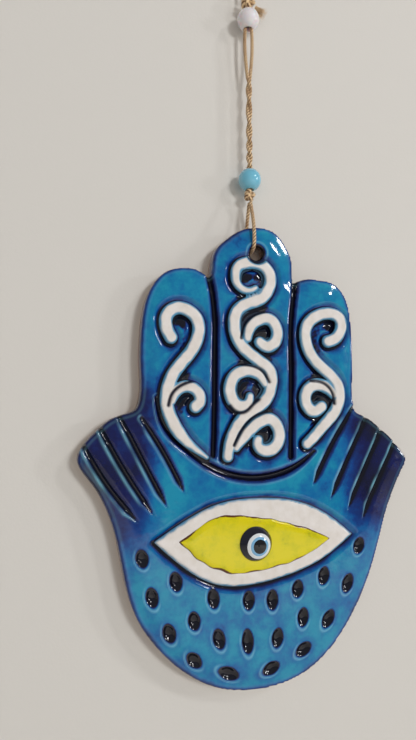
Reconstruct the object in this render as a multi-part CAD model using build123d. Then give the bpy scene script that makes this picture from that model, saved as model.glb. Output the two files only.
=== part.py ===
from build123d import *
import math
import os

os.makedirs("parts", exist_ok=True)

# Hamsa hand ornament, in millimetres.
# The origin is where the wall nail carries the hanging loop: +Z is up, the front of the hand faces -Y
# and the wall lies towards +Y. The twine hangs down the Z axis and the hand hangs from it.

# Driving sizes of the clay hand
HAND_WIDTH = 143.0
HAND_HEIGHT = 189.4
HAND_THICKNESS = 8.0
FRONT_EDGE_RADIUS = 2.4
BACK_EDGE_RADIUS = 0.8

# Relief in the clay: how wide and deep the grooves, flutes, seed dimples and beds are
FINGER_GROOVE_WIDTH = 3.5
FINGER_GROOVE_DEPTH = 2.2
PALM_GROOVE_WIDTH = 3.8
PALM_GROOVE_DEPTH = 2.0
FLUTE_WIDTH = 3.4
FLUTE_DEPTH = 1.6
SEED_LENGTH = 8.6
SEED_WIDTH = 5.4
SEED_DEPTH = 1.5
BED_DEPTH = 1.5
BED_MARGIN = 1.3

# White clay scrolls on the three fingers
SCROLL_WIDTH = 5.5
SCROLL_PROUD = 0.4
BAND_STEP = 3.0

# Almond, coloured iris and glass eye
ALMOND_PROUD = 0.4
IRIS_THICKNESS = 0.7
GLUE_THICKNESS = 0.25
GLUE_DIAMETER = 9.0
EYE_DIAMETER = 13.6
EYE_HEIGHT = 3.6
EYE_RING_DIAMETER = 10.1
EYE_BLUE_DIAMETER = 7.6
EYE_PUPIL_DIAMETER = 5.6
EYE_SPOT_SHIFT = 0.6

# Hanging hole, off the hand's middle as in the real piece
HOLE_DIAMETER = 5.8
HOLE_RIM_RADIUS = 0.9
HOLE_SIDE_SHIFT = 1.8
HOLE_RIM_LAND = 1.1

# Twine, knots and beads
TWINE_DIAMETER = 1.4
STRAND_GAP = 0.06
BEAD_DIAMETER = 10.1
BEAD_BORE_DIAMETER = 3.1
TOP_KNOT_DIAMETER = 6.8
LOWER_KNOT_DIAMETER = 5.2
NAIL_TO_TOP_KNOT = 22.4
KNOT_TO_KNOT = 91.8
LOWER_KNOT_TO_HOLE = 26.9
TAIL_LENGTH = 7.5
TAIL_ROOT_DIAMETER = 1.8
TAIL_TIP_DIAMETER = 3.6
TAIL_DROOP = 38.0
RUNNING_GAP = 0.3

# Dark lines that part each curl from the band that it springs from
CURL_LINE_WIDTH = 1.1
CURL_LINE_DEPTH = 1.2

# One overrun for every cut
OVERRUN = 5.0

HALF_WIDTH = HAND_WIDTH / 2
HALF_STRANDS = (TWINE_DIAMETER + STRAND_GAP) / 2
TOP_KNOT_Z = -NAIL_TO_TOP_KNOT
LOWER_KNOT_Z = TOP_KNOT_Z - KNOT_TO_KNOT
HOLE_Z = LOWER_KNOT_Z - LOWER_KNOT_TO_HOLE

# Places on the hand: (share of the half width from the middle, share of the height from the bottom)
HOLE_HEIGHT_SHARE = 0.938
BOTTOM_Z = HOLE_Z - HOLE_HEIGHT_SHARE * HAND_HEIGHT

# The outline, clockwise from the left of the middle finger
OUTLINE_SHARES = [
    (-0.270, 0.879), (-0.243, 0.921), (-0.165, 0.965), (-0.062, 0.992), (0.036, 1.0),
    (0.143, 0.993), (0.216, 0.963), (0.258, 0.921), (0.276, 0.880),
    (0.330, 0.886), (0.430, 0.888), (0.530, 0.882), (0.600, 0.858),
    (0.638, 0.820), (0.650, 0.770), (0.652, 0.680), (0.648, 0.601),
    (0.662, 0.583), (0.720, 0.572), (0.812, 0.550), (0.905, 0.520),
    (0.970, 0.492), (1.0, 0.474), (0.972, 0.447), (0.918, 0.410), (0.866, 0.368),
    (0.822, 0.322), (0.756, 0.248), (0.690, 0.190), (0.590, 0.126), (0.455, 0.066),
    (0.300, 0.024), (0.130, 0.004), (-0.040, 0.0), (-0.190, 0.008), (-0.330, 0.030),
    (-0.470, 0.068), (-0.572, 0.108), (-0.665, 0.160), (-0.728, 0.228), (-0.764, 0.290),
    (-0.800, 0.342), (-0.850, 0.388), (-0.905, 0.423), (-0.965, 0.452), (-0.996, 0.477),
    (-0.972, 0.505), (-0.898, 0.537), (-0.822, 0.561), (-0.730, 0.574), (-0.688, 0.582),
    (-0.668, 0.600), (-0.666, 0.680), (-0.662, 0.755), (-0.640, 0.812), (-0.590, 0.856),
    (-0.512, 0.884), (-0.420, 0.893), (-0.330, 0.889),
]

LEFT_GROOVE_SHARES = [
    (-0.283, 0.905), (-0.262, 0.862), (-0.240, 0.800), (-0.237, 0.680), (-0.240, 0.570), (-0.248, 0.485),
]
RIGHT_GROOVE_SHARES = [
    (0.287, 0.905), (0.268, 0.862), (0.243, 0.790), (0.238, 0.680), (0.232, 0.570), (0.226, 0.480),
]
PALM_GROOVE_SHARES = [
    (-0.574, 0.606), (-0.545, 0.562), (-0.470, 0.522), (-0.372, 0.490), (-0.270, 0.463),
    (-0.140, 0.443), (0.0, 0.436), (0.140, 0.443), (0.262, 0.461), (0.372, 0.492),
]
FLUTE_SHARES = [
    [(-0.985, 0.520), (-0.850, 0.435), (-0.665, 0.350)],
    [(-0.895, 0.553), (-0.755, 0.460), (-0.580, 0.362)],
    [(-0.790, 0.575), (-0.655, 0.480), (-0.508, 0.378)],
    [(-0.655, 0.562), (-0.530, 0.490), (-0.413, 0.407)],
    [(0.640, 0.590), (0.480, 0.500), (0.358, 0.415)],
    [(0.758, 0.585), (0.595, 0.475), (0.470, 0.384)],
    [(0.858, 0.556), (0.705, 0.450), (0.582, 0.360)],
    [(0.945, 0.523), (0.795, 0.425), (0.675, 0.336)],
]

# Each seed dimple: place shares, lean in degrees, and its length as a share of the seed length
SEED_SHARES = [
    (-0.645, 0.280, 15, 0.92), (-0.589, 0.203, 15, 1.02), (-0.494, 0.131, 20, 0.98),
    (-0.357, 0.074, 42, 0.96), (-0.163, 0.041, 66, 1.16), (0.083, 0.042, -66, 0.98),
    (0.280, 0.073, -56, 0.96), (0.436, 0.131, -32, 1.02), (0.565, 0.203, -22, 1.02),
    (0.646, 0.282, -20, 0.90),
    (-0.460, 0.231, 14, 0.98), (-0.250, 0.192, 10, 1.02), (-0.046, 0.183, 0, 0.96),
    (0.095, 0.180, 0, 1.02), (0.250, 0.199, -8, 0.90), (0.414, 0.222, -13, 0.96),
    (-0.358, 0.151, 10, 0.92), (-0.218, 0.111, 15, 1.02), (-0.053, 0.101, 4, 1.24),
    (0.123, 0.102, -8, 0.98), (0.280, 0.139, -6, 0.98),
]

# Centre lines of the scrolls, each with its width at the start, the middle and the end
LEFT_SCROLL_SHARES = [
    ([(-0.497, 0.736), (-0.524, 0.758), (-0.522, 0.782), (-0.470, 0.800), (-0.395, 0.796),
      (-0.343, 0.776), (-0.337, 0.745), (-0.370, 0.713), (-0.427, 0.685), (-0.483, 0.656),
      (-0.515, 0.622), (-0.515, 0.589), (-0.482, 0.555), (-0.427, 0.524), (-0.357, 0.500),
      (-0.288, 0.481)], (1.0, 1.0, 0.35)),
    ([(-0.492, 0.600), (-0.458, 0.623), (-0.400, 0.631), (-0.345, 0.622), (-0.326, 0.600),
      (-0.352, 0.588)], (0.7, 0.9, 0.95)),
]
MIDDLE_SCROLL_SHARES = [
    ([(0.014, 0.856), (-0.032, 0.849), (-0.088, 0.857), (-0.112, 0.878), (-0.090, 0.904),
      (-0.020, 0.914), (0.063, 0.909), (0.106, 0.888), (0.098, 0.858), (0.045, 0.832),
      (-0.032, 0.820), (-0.102, 0.801), (-0.120, 0.767), (-0.095, 0.734), (-0.032, 0.708),
      (0.045, 0.688), (0.102, 0.667), (0.105, 0.638), (0.077, 0.609), (0.007, 0.585),
      (-0.070, 0.565), (-0.118, 0.540), (-0.150, 0.512), (-0.163, 0.482)], (0.5, 1.0, 0.85)),
    ([(-0.040, 0.742), (-0.020, 0.768), (0.032, 0.784), (0.106, 0.785), (0.146, 0.762),
      (0.133, 0.736), (0.083, 0.724), (0.036, 0.733)], (0.75, 1.0, 0.9)),
    ([(0.066, 0.640), (0.032, 0.660), (-0.045, 0.669), (-0.120, 0.656), (-0.150, 0.628),
      (-0.132, 0.603), (-0.085, 0.590), (-0.042, 0.596), (-0.028, 0.612)], (0.6, 1.0, 0.65)),
    ([(-0.112, 0.500), (-0.060, 0.526), (0.010, 0.551), (0.099, 0.562), (0.148, 0.539),
      (0.140, 0.510), (0.070, 0.494), (0.022, 0.503), (0.018, 0.516)], (0.6, 1.0, 0.8)),
]
RIGHT_SCROLL_SHARES = [
    ([(0.478, 0.742), (0.522, 0.748), (0.564, 0.769), (0.562, 0.797), (0.500, 0.808),
      (0.412, 0.801), (0.343, 0.778), (0.330, 0.746), (0.357, 0.714), (0.413, 0.688),
      (0.490, 0.664), (0.540, 0.638), (0.542, 0.604), (0.503, 0.576), (0.440, 0.551),
      (0.385, 0.529), (0.328, 0.509)], (1.0, 1.0, 0.9)),
    ([(0.508, 0.618), (0.465, 0.634), (0.388, 0.641), (0.330, 0.624), (0.328, 0.596),
      (0.376, 0.581), (0.428, 0.592)], (0.7, 1.0, 0.9)),
]

CURL_LINE_SHARES = {
    "scroll_left": [[(-0.509, 0.590), (-0.490, 0.614), (-0.427, 0.635), (-0.350, 0.645)]],
    "scroll_middle": [
        [(-0.079, 0.741), (-0.062, 0.767), (0.000, 0.793), (0.085, 0.805)],
        [(0.090, 0.645), (0.057, 0.666), (-0.007, 0.679), (-0.095, 0.682)],
        [(-0.126, 0.506), (-0.070, 0.543), (0.010, 0.570), (0.084, 0.580)],
    ],
    "scroll_right": [[(0.509, 0.599), (0.490, 0.628), (0.439, 0.645), (0.357, 0.650)]],
}

ALMOND_UPPER_SHARES = [
    (-0.582, 0.311), (-0.406, 0.352), (-0.230, 0.382), (0.020, 0.393), (0.230, 0.386), (0.456, 0.351),
    (0.603, 0.308),
]
ALMOND_LOWER_SHARES = [
    (0.603, 0.308), (0.450, 0.267), (0.316, 0.243), (0.141, 0.224), (-0.060, 0.213), (-0.230, 0.219),
    (-0.427, 0.260), (-0.582, 0.311),
]
IRIS_UPPER_SHARES = [
    (-0.450, 0.310), (-0.360, 0.333), (-0.230, 0.358), (-0.060, 0.358), (0.147, 0.345), (0.364, 0.319),
    (0.466, 0.302),
]
IRIS_LOWER_SHARES = [
    (0.466, 0.302), (0.318, 0.270), (0.186, 0.252), (0.000, 0.240), (-0.155, 0.239), (-0.270, 0.254),
    (-0.380, 0.284), (-0.450, 0.310),
]
EYE_PLACE_SHARE = (-0.007, 0.299)
SPOT_FLOOR_SHARE = 0.25
IRIS_ROUND_SHARE = 0.7

# Bands: steps along each one, and how much of its length each end takes to reach the middle width
STROKE_STEPS = 8
BED_EDGE_STEPS = 10
TAPER_SHARE = 1 / 6
# Widths of the strokes at the start, in the middle and at the end
PALM_GROOVE_TAPER = (0.6, 1.0, 0.5)
FLUTE_TAPER = (1.0, 1.0, 0.5)
CURL_LINE_TAPER = (0.6, 1.0, 1.0)

# Route of the hanging loop over the nail, as (X, Z)
NAIL_LOOP_POINTS = [
    (-1.0, -18.6), (-1.6, -14.2), (-2.5, -9.4), (-3.0, -4.9), (-2.7, -1.5), (-1.2, 0.7),
    (1.2, 0.7), (2.7, -1.5), (3.0, -4.9), (2.5, -9.4), (1.6, -14.2), (1.0, -18.6),
]
# Route of the lower loop, as (Y, Z): down the front of the hand, through the hole and up behind it
LOWER_LOOP_POINTS = [
    (-0.9, -117.0), (-2.2, -121.0), (-4.2, -126.2), (-5.2, -130.8), (-5.45, -135.2), (-4.8, -140.2),
    (4.8, -140.2), (5.45, -135.2), (5.2, -130.8), (4.2, -126.2), (2.2, -121.0), (0.9, -117.0),
]
ARC_SHARE = 0.45

HAND_PLANE = Plane(origin=(0, HAND_THICKNESS / 2, BOTTOM_Z), x_dir=(1, 0, 0), z_dir=(0, -1, 0))


def spot(shares):
    """A place on the flat hand from its shares: x to the right, y up from the bottom."""
    return (shares[0] * HALF_WIDTH, shares[1] * HAND_HEIGHT)


def curve(shares):
    """A smooth curve through places on the hand."""
    return Spline([spot(place) for place in shares])


def hand_outline():
    """The closed outline of the hand: a smooth loop as round arcs, two from each place to the next."""
    places = [Vector(*spot(shares)) for shares in OUTLINE_SHARES]
    loop = Spline(places, periodic=True)
    ways = [loop.tangent_at(loop.param_at_point(place)) for place in places]
    arcs = []
    for here, there, leaving, arriving in zip(places, places[1:] + places[:1], ways, ways[1:] + ways[:1]):
        gap = there - here
        bend = 2 * (1 - leaving.dot(arriving))
        pull = 2 * gap.dot(leaving + arriving)
        reach = 2 * gap.dot(gap) / (pull + math.sqrt(pull**2 + 4 * bend * gap.dot(gap)))
        near = here + leaving * reach
        far = there - arriving * reach
        middle = (near + far) / 2
        arcs.append(TangentArc(here, middle, tangent=leaving))
        arcs.append(TangentArc(middle, there, tangent=far - near))
    return make_face(Curve() + arcs)


def half_width_at(place, widths, width):
    """Half the width of a stroke at a place from 0 to 1: its ends blend into its middle width."""
    start, middle, end = widths
    near_end = start if place < 1 - place else end
    blend = min(1.0, min(place, 1 - place) / TAPER_SHARE)
    return width / 2 * (near_end + (middle - near_end) * blend)


def stroke(shares, width, widths=(1.0, 1.0, 1.0)):
    """A flat band along a curve, with round caps."""
    line = curve(shares)
    left = []
    right = []
    for step in range(STROKE_STEPS + 1):
        place = step / STROKE_STEPS
        along = line.tangent_at(place)
        reach = Vector(-along.Y, along.X) * half_width_at(place, widths, width)
        left.append(line.position_at(place) + reach)
        right.append(line.position_at(place) - reach)
    last_tip = line.position_at(1) + line.tangent_at(1) * half_width_at(1, widths, width)
    first_tip = line.position_at(0) - line.tangent_at(0) * half_width_at(0, widths, width)
    return make_face(Curve() + [
        Spline(left),
        ThreePointArc(left[-1], last_tip, right[-1]),
        Spline(right[::-1]),
        ThreePointArc(right[0], first_tip, left[0]),
    ])


def raised(face, bottom, top):
    """A flat shape as a solid between two heights above the back of the hand."""
    return extrude(Pos(0, 0, bottom) * face, amount=top - bottom)


def cutters(faces, depth):
    """Flat shapes as cutters that reach a depth below the front of the hand."""
    return [raised(face, HAND_THICKNESS - depth, HAND_THICKNESS + OVERRUN) for face in faces]


def scroll_face(scroll, margin=0.0):
    """One scroll seen from the front: round spots along its bands, joined by straight stretches."""
    shapes = []
    for shares, widths in scroll:
        line = curve(shares)
        count = round(line.length / BAND_STEP)
        places = [line.position_at(number / count) for number in range(count + 1)]
        halves = [half_width_at(number / count, widths, SCROLL_WIDTH) + margin for number in range(count + 1)]
        shapes += [Pos(place.X, place.Y) * Circle(half) for place, half in zip(places, halves)]
        for before, here, first, last in zip(places, places[1:], halves, halves[1:]):
            along = (here - before).normalized()
            side = Vector(-along.Y, along.X)
            corners = [before + side * first, here + side * last, here - side * last, before - side * first]
            shapes.append(make_face(Polyline(*corners, close=True)))
    return Sketch() + shapes


def leaf(upper, lower):
    """A pointed leaf between an upper and a lower curve."""
    return make_face(Curve() + [curve(upper), curve(lower)])


def almond_bed_face():
    """The bed of the almond: its own outline moved outwards, with a round end past each tip."""
    sides = []
    for shares in (ALMOND_UPPER_SHARES, ALMOND_LOWER_SHARES):
        line = curve(shares)
        side = []
        for number in range(BED_EDGE_STEPS + 1):
            place = number / BED_EDGE_STEPS
            along = line.tangent_at(place)
            side.append(line.position_at(place) + Vector(-along.Y, along.X) * BED_MARGIN)
        sides.append(side)
    upper, lower = sides
    left_tip, right_tip = (Vector(*spot(ALMOND_UPPER_SHARES[end])) for end in (0, -1))
    return make_face(Curve() + [
        Spline(upper),
        ThreePointArc(upper[-1], right_tip + Vector(BED_MARGIN, 0), lower[0]),
        Spline(lower),
        ThreePointArc(lower[-1], left_tip - Vector(BED_MARGIN, 0), upper[0]),
    ])


def seed_cutter(x_share, y_share, lean, length_share):
    """A long round dimple, cut by a spindle that lies above the front of the hand."""
    half_length = SEED_LENGTH * length_share / 2
    half_width = SEED_WIDTH / 2
    profile = make_face(Curve() + [
        Line((0, -half_length), (0, half_length)),
        ThreePointArc((0, half_length), (half_width, 0), (0, -half_length)),
    ])
    x, y = spot((x_share, y_share))
    return Pos(x, y, HAND_THICKNESS + half_width - SEED_DEPTH) * Rot(0, 0, lean) * revolve(profile, Axis.Y)


def hole_place():
    """The middle of the hanging hole on the flat hand."""
    return (HOLE_SIDE_SHIFT, HOLE_HEIGHT_SHARE * HAND_HEIGHT)


def hole_cutter():
    """The bore of the hanging hole with its rim rounded at the front and at the back."""
    bore = HOLE_DIAMETER / 2
    rim = bore + HOLE_RIM_RADIUS
    low = HOLE_RIM_RADIUS
    high = HAND_THICKNESS - HOLE_RIM_RADIUS
    bend = HOLE_RIM_RADIUS * (1 - math.sqrt(0.5))
    profile = make_face(Curve() + [
        Polyline((0, -OVERRUN), (rim, -OVERRUN), (rim, 0)),
        ThreePointArc((rim, 0), (bore + bend, bend), (bore, low)),
        Line((bore, low), (bore, high)),
        ThreePointArc((bore, high), (bore + bend, HAND_THICKNESS - bend), (rim, HAND_THICKNESS)),
        Polyline((rim, HAND_THICKNESS), (rim, HAND_THICKNESS + OVERRUN), (0, HAND_THICKNESS + OVERRUN),
                 (0, -OVERRUN)),
    ])
    x, y = hole_place()
    return Pos(x, y, 0) * Rot(90, 0, 0) * revolve(profile, Axis.Y)


def almond_face():
    """The white of the eye, seen from the front."""
    return leaf(ALMOND_UPPER_SHARES, ALMOND_LOWER_SHARES)


def hand_plaque():
    """The clay hand with its rounded edges, grooves, flutes, dimples, beds for the white clay and hole."""
    body = extrude(hand_outline(), amount=HAND_THICKNESS)
    body = fillet(body.edges().filter_by_position(Axis.Z, HAND_THICKNESS, HAND_THICKNESS), FRONT_EDGE_RADIUS)
    body = fillet(body.edges().filter_by_position(Axis.Z, 0, 0), BACK_EDGE_RADIUS)
    cuts = [hole_cutter()] + [seed_cutter(*seed) for seed in SEED_SHARES]
    for shares in (LEFT_GROOVE_SHARES, RIGHT_GROOVE_SHARES):
        cuts += cutters([stroke(shares, FINGER_GROOVE_WIDTH)], FINGER_GROOVE_DEPTH)
    cuts += cutters([stroke(PALM_GROOVE_SHARES, PALM_GROOVE_WIDTH, PALM_GROOVE_TAPER)], PALM_GROOVE_DEPTH)
    for shares in FLUTE_SHARES:
        cuts += cutters([stroke(shares, FLUTE_WIDTH, FLUTE_TAPER)], FLUTE_DEPTH)
    beds = [almond_bed_face()] + [scroll_face(scroll, BED_MARGIN) for scroll in SCROLLS.values()]
    cuts += cutters(beds, BED_DEPTH)
    for cut in cuts:
        body -= cut
    return body


def scroll_piece(name):
    """One white clay scroll, seated on the floor of its bed, with the lines that part its curls."""
    top = HAND_THICKNESS + SCROLL_PROUD
    piece = raised(scroll_face(SCROLLS[name]), HAND_THICKNESS - BED_DEPTH, top)
    for shares in CURL_LINE_SHARES[name]:
        line = stroke(shares, CURL_LINE_WIDTH, CURL_LINE_TAPER)
        piece -= raised(line, top - CURL_LINE_DEPTH, top + OVERRUN)
    x, y = hole_place()
    land = HOLE_DIAMETER / 2 + HOLE_RIM_RADIUS + HOLE_RIM_LAND
    piece -= Pos(x, y, HAND_THICKNESS) * Cylinder(land, 2 * HAND_THICKNESS)
    return piece


def eye_slab():
    """The almond of white clay in its bed."""
    return raised(almond_face(), HAND_THICKNESS - BED_DEPTH, HAND_THICKNESS + ALMOND_PROUD)


def iris_glaze():
    """The thick pool of coloured glaze on the almond, with a rounded edge."""
    bottom = HAND_THICKNESS + ALMOND_PROUD
    pool = raised(leaf(IRIS_UPPER_SHARES, IRIS_LOWER_SHARES), bottom, bottom + IRIS_THICKNESS)
    top_edges = pool.edges().filter_by_position(Axis.Z, bottom + IRIS_THICKNESS, bottom + IRIS_THICKNESS)
    return fillet(top_edges, IRIS_THICKNESS * IRIS_ROUND_SHARE)


def glass_dome():
    """The whole domed glass eye, before its spots are parted from it."""
    half = EYE_DIAMETER / 2
    ball = (half**2 + EYE_HEIGHT**2) / (2 * EYE_HEIGHT)
    turn = math.asin(half / ball) / 2
    halfway = (ball * math.sin(turn), ball * math.cos(turn) - ball + EYE_HEIGHT)
    profile = make_face(Curve() + [
        Polyline((0, EYE_HEIGHT), (0, 0), (half, 0)),
        ThreePointArc((half, 0), halfway, (0, EYE_HEIGHT)),
    ])
    x, y = spot(EYE_PLACE_SHARE)
    base = HAND_THICKNESS + ALMOND_PROUD + IRIS_THICKNESS + GLUE_THICKNESS
    return Pos(x, y, base) * Rot(90, 0, 0) * revolve(profile, Axis.Y)


def spot_column(diameter, shift):
    """A column through the dome, off centre towards the lower right, from the floor of the spots up."""
    x, y = spot(EYE_PLACE_SHARE)
    floor = HAND_THICKNESS + ALMOND_PROUD + IRIS_THICKNESS + GLUE_THICKNESS + EYE_HEIGHT * SPOT_FLOOR_SHARE
    return Pos(x + shift, y - shift, floor + OVERRUN / 2) * Cylinder(diameter / 2, OVERRUN)


def glass_eye():
    """The layers of the glass eye: dark body, white ring, pale ring and dark pupil."""
    dome = glass_dome()
    ring = spot_column(EYE_RING_DIAMETER, EYE_SPOT_SHIFT)
    blue = spot_column(EYE_BLUE_DIAMETER, EYE_SPOT_SHIFT)
    pupil = spot_column(EYE_PUPIL_DIAMETER, EYE_SPOT_SHIFT)
    return {
        "glass_eye_body": dome - ring,
        "glass_eye_white_ring": (dome & ring) - blue,
        "glass_eye_pale_ring": (dome & blue) - pupil,
        "glass_eye_pupil": dome & pupil,
    }


def glue_pad():
    """The thin pad of glue under the glass eye."""
    x, y = spot(EYE_PLACE_SHARE)
    bottom = HAND_THICKNESS + ALMOND_PROUD + IRIS_THICKNESS
    return Pos(x, y, bottom + GLUE_THICKNESS / 2) * Cylinder(GLUE_DIAMETER / 2, GLUE_THICKNESS)


def on_the_hand(shape):
    """Stands a shape made on the flat hand upright in its place under the twine."""
    return HAND_PLANE.location * shape


def twine_tube(points, name):
    """A twine along straight runs joined by arcs that are as large as the runs allow."""
    points = [Vector(*point) for point in points]
    radii = []
    for before, here, after in zip(points, points[1:], points[2:]):
        turn = (here - before).get_angle(after - here)
        shorter = min((here - before).length, (after - here).length)
        radii.append(ARC_SHARE * shorter / math.tan(math.radians(turn / 2)))
    path = FilletPolyline(*points, radius=radii)
    start = Plane(origin=path.position_at(0), z_dir=path.tangent_at(0))
    tube = sweep(start * Circle(TWINE_DIAMETER / 2), path=path)
    straight = math.pi * TWINE_DIAMETER**2 / 4 * path.length
    print(name, "length", round(path.length, 2), "volume share", round(tube.volume / straight, 4))
    print(name, "radii", [round(radius, 2) for radius in radii])
    return tube


def nail_loop():
    """The loop that hangs on the nail, both legs ending at the top knot."""
    return twine_tube([(x, 0, z) for x, z in NAIL_LOOP_POINTS], "nail_loop")


def lower_loop():
    """The loop that goes down the front of the hand, through the hole and up behind it."""
    return twine_tube([(0, y, z) for y, z in LOWER_LOOP_POINTS], "lower_loop")


def strand(side):
    """One strand of the doubled twine, pulled straight from knot to knot."""
    top = TOP_KNOT_Z - TOP_KNOT_DIAMETER / 2 - RUNNING_GAP
    bottom = LOWER_KNOT_Z + LOWER_KNOT_DIAMETER / 2 + RUNNING_GAP
    return Pos(side * HALF_STRANDS, 0, (top + bottom) / 2) * Cylinder(TWINE_DIAMETER / 2, top - bottom)


def knot(diameter, height):
    """A tight round knot on the twine."""
    return Pos(0, 0, height) * Sphere(diameter / 2)


def seat_to_bead(knot_diameter):
    """From a knot's middle to the middle of the bead that it stops."""
    bore = BEAD_BORE_DIAMETER / 2
    return (math.sqrt((knot_diameter / 2) ** 2 - bore**2)
            + math.sqrt((BEAD_DIAMETER / 2) ** 2 - bore**2) + RUNNING_GAP)


def bead(height):
    """A round glass bead with its bore along the twine."""
    bore = Cylinder(BEAD_BORE_DIAMETER / 2, 2 * BEAD_DIAMETER)
    return Pos(0, 0, height) * (Sphere(BEAD_DIAMETER / 2) - bore)


def frayed_tail():
    """The cut end of the twine, fraying outwards beside the top knot."""
    reach = TOP_KNOT_DIAMETER / 2 + RUNNING_GAP
    cone = Cone(TAIL_ROOT_DIAMETER / 2, TAIL_TIP_DIAMETER / 2, TAIL_LENGTH)
    return Pos(0, 0, TOP_KNOT_Z) * Rot(0, 90 + TAIL_DROOP, 0) * Pos(0, 0, reach + TAIL_LENGTH / 2) * cone


SCROLLS = {
    "scroll_left": LEFT_SCROLL_SHARES,
    "scroll_middle": MIDDLE_SCROLL_SHARES,
    "scroll_right": RIGHT_SCROLL_SHARES,
}

nodes = {"hand_plaque": on_the_hand(hand_plaque())}
for scroll_name in SCROLLS:
    nodes[scroll_name] = on_the_hand(scroll_piece(scroll_name))
nodes["eye_slab"] = on_the_hand(eye_slab())
nodes["iris_glaze"] = on_the_hand(iris_glaze())
nodes["glue_pad"] = on_the_hand(glue_pad())
for layer_name, layer in glass_eye().items():
    nodes[layer_name] = on_the_hand(layer)
nodes["nail_loop"] = nail_loop()
nodes["top_knot"] = knot(TOP_KNOT_DIAMETER, TOP_KNOT_Z)
nodes["frayed_tail"] = frayed_tail()
nodes["strand_left"] = strand(-1)
nodes["strand_right"] = strand(1)
nodes["white_bead"] = bead(TOP_KNOT_Z - seat_to_bead(TOP_KNOT_DIAMETER))
nodes["turquoise_bead"] = bead(LOWER_KNOT_Z + seat_to_bead(LOWER_KNOT_DIAMETER))
nodes["lower_knot"] = knot(LOWER_KNOT_DIAMETER, LOWER_KNOT_Z)
nodes["lower_loop"] = lower_loop()

for name, shape in nodes.items():
    export_step(shape, f"parts/{name}.step")
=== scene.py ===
"""Looks of the hamsa hand ornament: glazed clay hand, glass eye, beads and jute twine round its CAD part."""

import logging
import math
from dataclasses import dataclass, field
from enum import Enum
from typing import Callable

import bmesh
import bpy
import numpy as np
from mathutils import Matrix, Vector

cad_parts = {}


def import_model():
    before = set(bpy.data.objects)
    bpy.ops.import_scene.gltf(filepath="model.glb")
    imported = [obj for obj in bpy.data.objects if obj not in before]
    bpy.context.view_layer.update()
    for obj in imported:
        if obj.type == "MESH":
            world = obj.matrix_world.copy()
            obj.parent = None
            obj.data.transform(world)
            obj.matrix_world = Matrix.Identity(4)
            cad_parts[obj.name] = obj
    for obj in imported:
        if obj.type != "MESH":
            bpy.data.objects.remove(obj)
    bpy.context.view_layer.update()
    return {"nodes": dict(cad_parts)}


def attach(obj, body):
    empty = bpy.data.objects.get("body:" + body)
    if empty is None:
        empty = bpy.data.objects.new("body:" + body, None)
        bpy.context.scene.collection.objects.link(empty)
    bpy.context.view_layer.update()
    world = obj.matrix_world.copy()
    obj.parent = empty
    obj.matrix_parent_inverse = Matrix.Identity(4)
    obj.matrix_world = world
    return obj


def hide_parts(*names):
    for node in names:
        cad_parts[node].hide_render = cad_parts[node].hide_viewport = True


LOG = logging.getLogger("hamsa")

# Millimetres to metres
MM = 0.001

# Sizes shared with the CAD part, in millimetres
HALF_WIDTH = 71.5
HAND_HEIGHT = 189.4
FRONT_Y = -4.0
BACK_Y = 4.0
BED_Y = -2.5
BOTTOM_Z = -318.757
HOLE_PLACE = (1.8, 177.657)
HOLE_RADIUS = 2.9
HOLE_RIM_RADIUS = 0.9
SCROLL_HALF_WIDTH = 2.75
SCROLL_LAND_RADIUS = 4.9
TOP_KNOT_Z = -22.4
LOWER_KNOT_Z = -114.2
WHITE_BEAD_Z = -30.525
TURQUOISE_BEAD_Z = -107.008
BEAD_RADIUS = 5.05
BEAD_BORE_RADIUS = 1.55

# Places on the hand as shares: x of the half width from the middle, y of the height from the bottom
OUTLINE_SHARES = [
    (-0.270, 0.879), (-0.243, 0.921), (-0.165, 0.965), (-0.062, 0.992), (0.036, 1.0),
    (0.143, 0.993), (0.216, 0.963), (0.258, 0.921), (0.276, 0.880),
    (0.330, 0.886), (0.430, 0.888), (0.530, 0.882), (0.600, 0.858),
    (0.638, 0.820), (0.650, 0.770), (0.652, 0.680), (0.648, 0.601),
    (0.662, 0.583), (0.720, 0.572), (0.812, 0.550), (0.905, 0.520),
    (0.970, 0.492), (1.0, 0.474), (0.972, 0.447), (0.918, 0.410), (0.866, 0.368),
    (0.822, 0.322), (0.756, 0.248), (0.690, 0.190), (0.590, 0.126), (0.455, 0.066),
    (0.300, 0.024), (0.130, 0.004), (-0.040, 0.0), (-0.190, 0.008), (-0.330, 0.030),
    (-0.470, 0.068), (-0.572, 0.108), (-0.665, 0.160), (-0.728, 0.228), (-0.764, 0.290),
    (-0.800, 0.342), (-0.850, 0.388), (-0.905, 0.423), (-0.965, 0.452), (-0.996, 0.477),
    (-0.972, 0.505), (-0.898, 0.537), (-0.822, 0.561), (-0.730, 0.574), (-0.688, 0.582),
    (-0.668, 0.600), (-0.666, 0.680), (-0.662, 0.755), (-0.640, 0.812), (-0.590, 0.856),
    (-0.512, 0.884), (-0.420, 0.893), (-0.330, 0.889),
]
GROOVE_SHARES = [
    [(-0.283, 0.905), (-0.262, 0.862), (-0.240, 0.800), (-0.237, 0.680), (-0.240, 0.570), (-0.248, 0.485)],
    [(0.287, 0.905), (0.268, 0.862), (0.243, 0.790), (0.238, 0.680), (0.232, 0.570), (0.226, 0.480)],
]
PALM_GROOVE_SHARES = [
    (-0.574, 0.606), (-0.545, 0.562), (-0.470, 0.522), (-0.372, 0.490), (-0.270, 0.463),
    (-0.140, 0.443), (0.0, 0.436), (0.140, 0.443), (0.262, 0.461), (0.372, 0.492),
]
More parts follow.
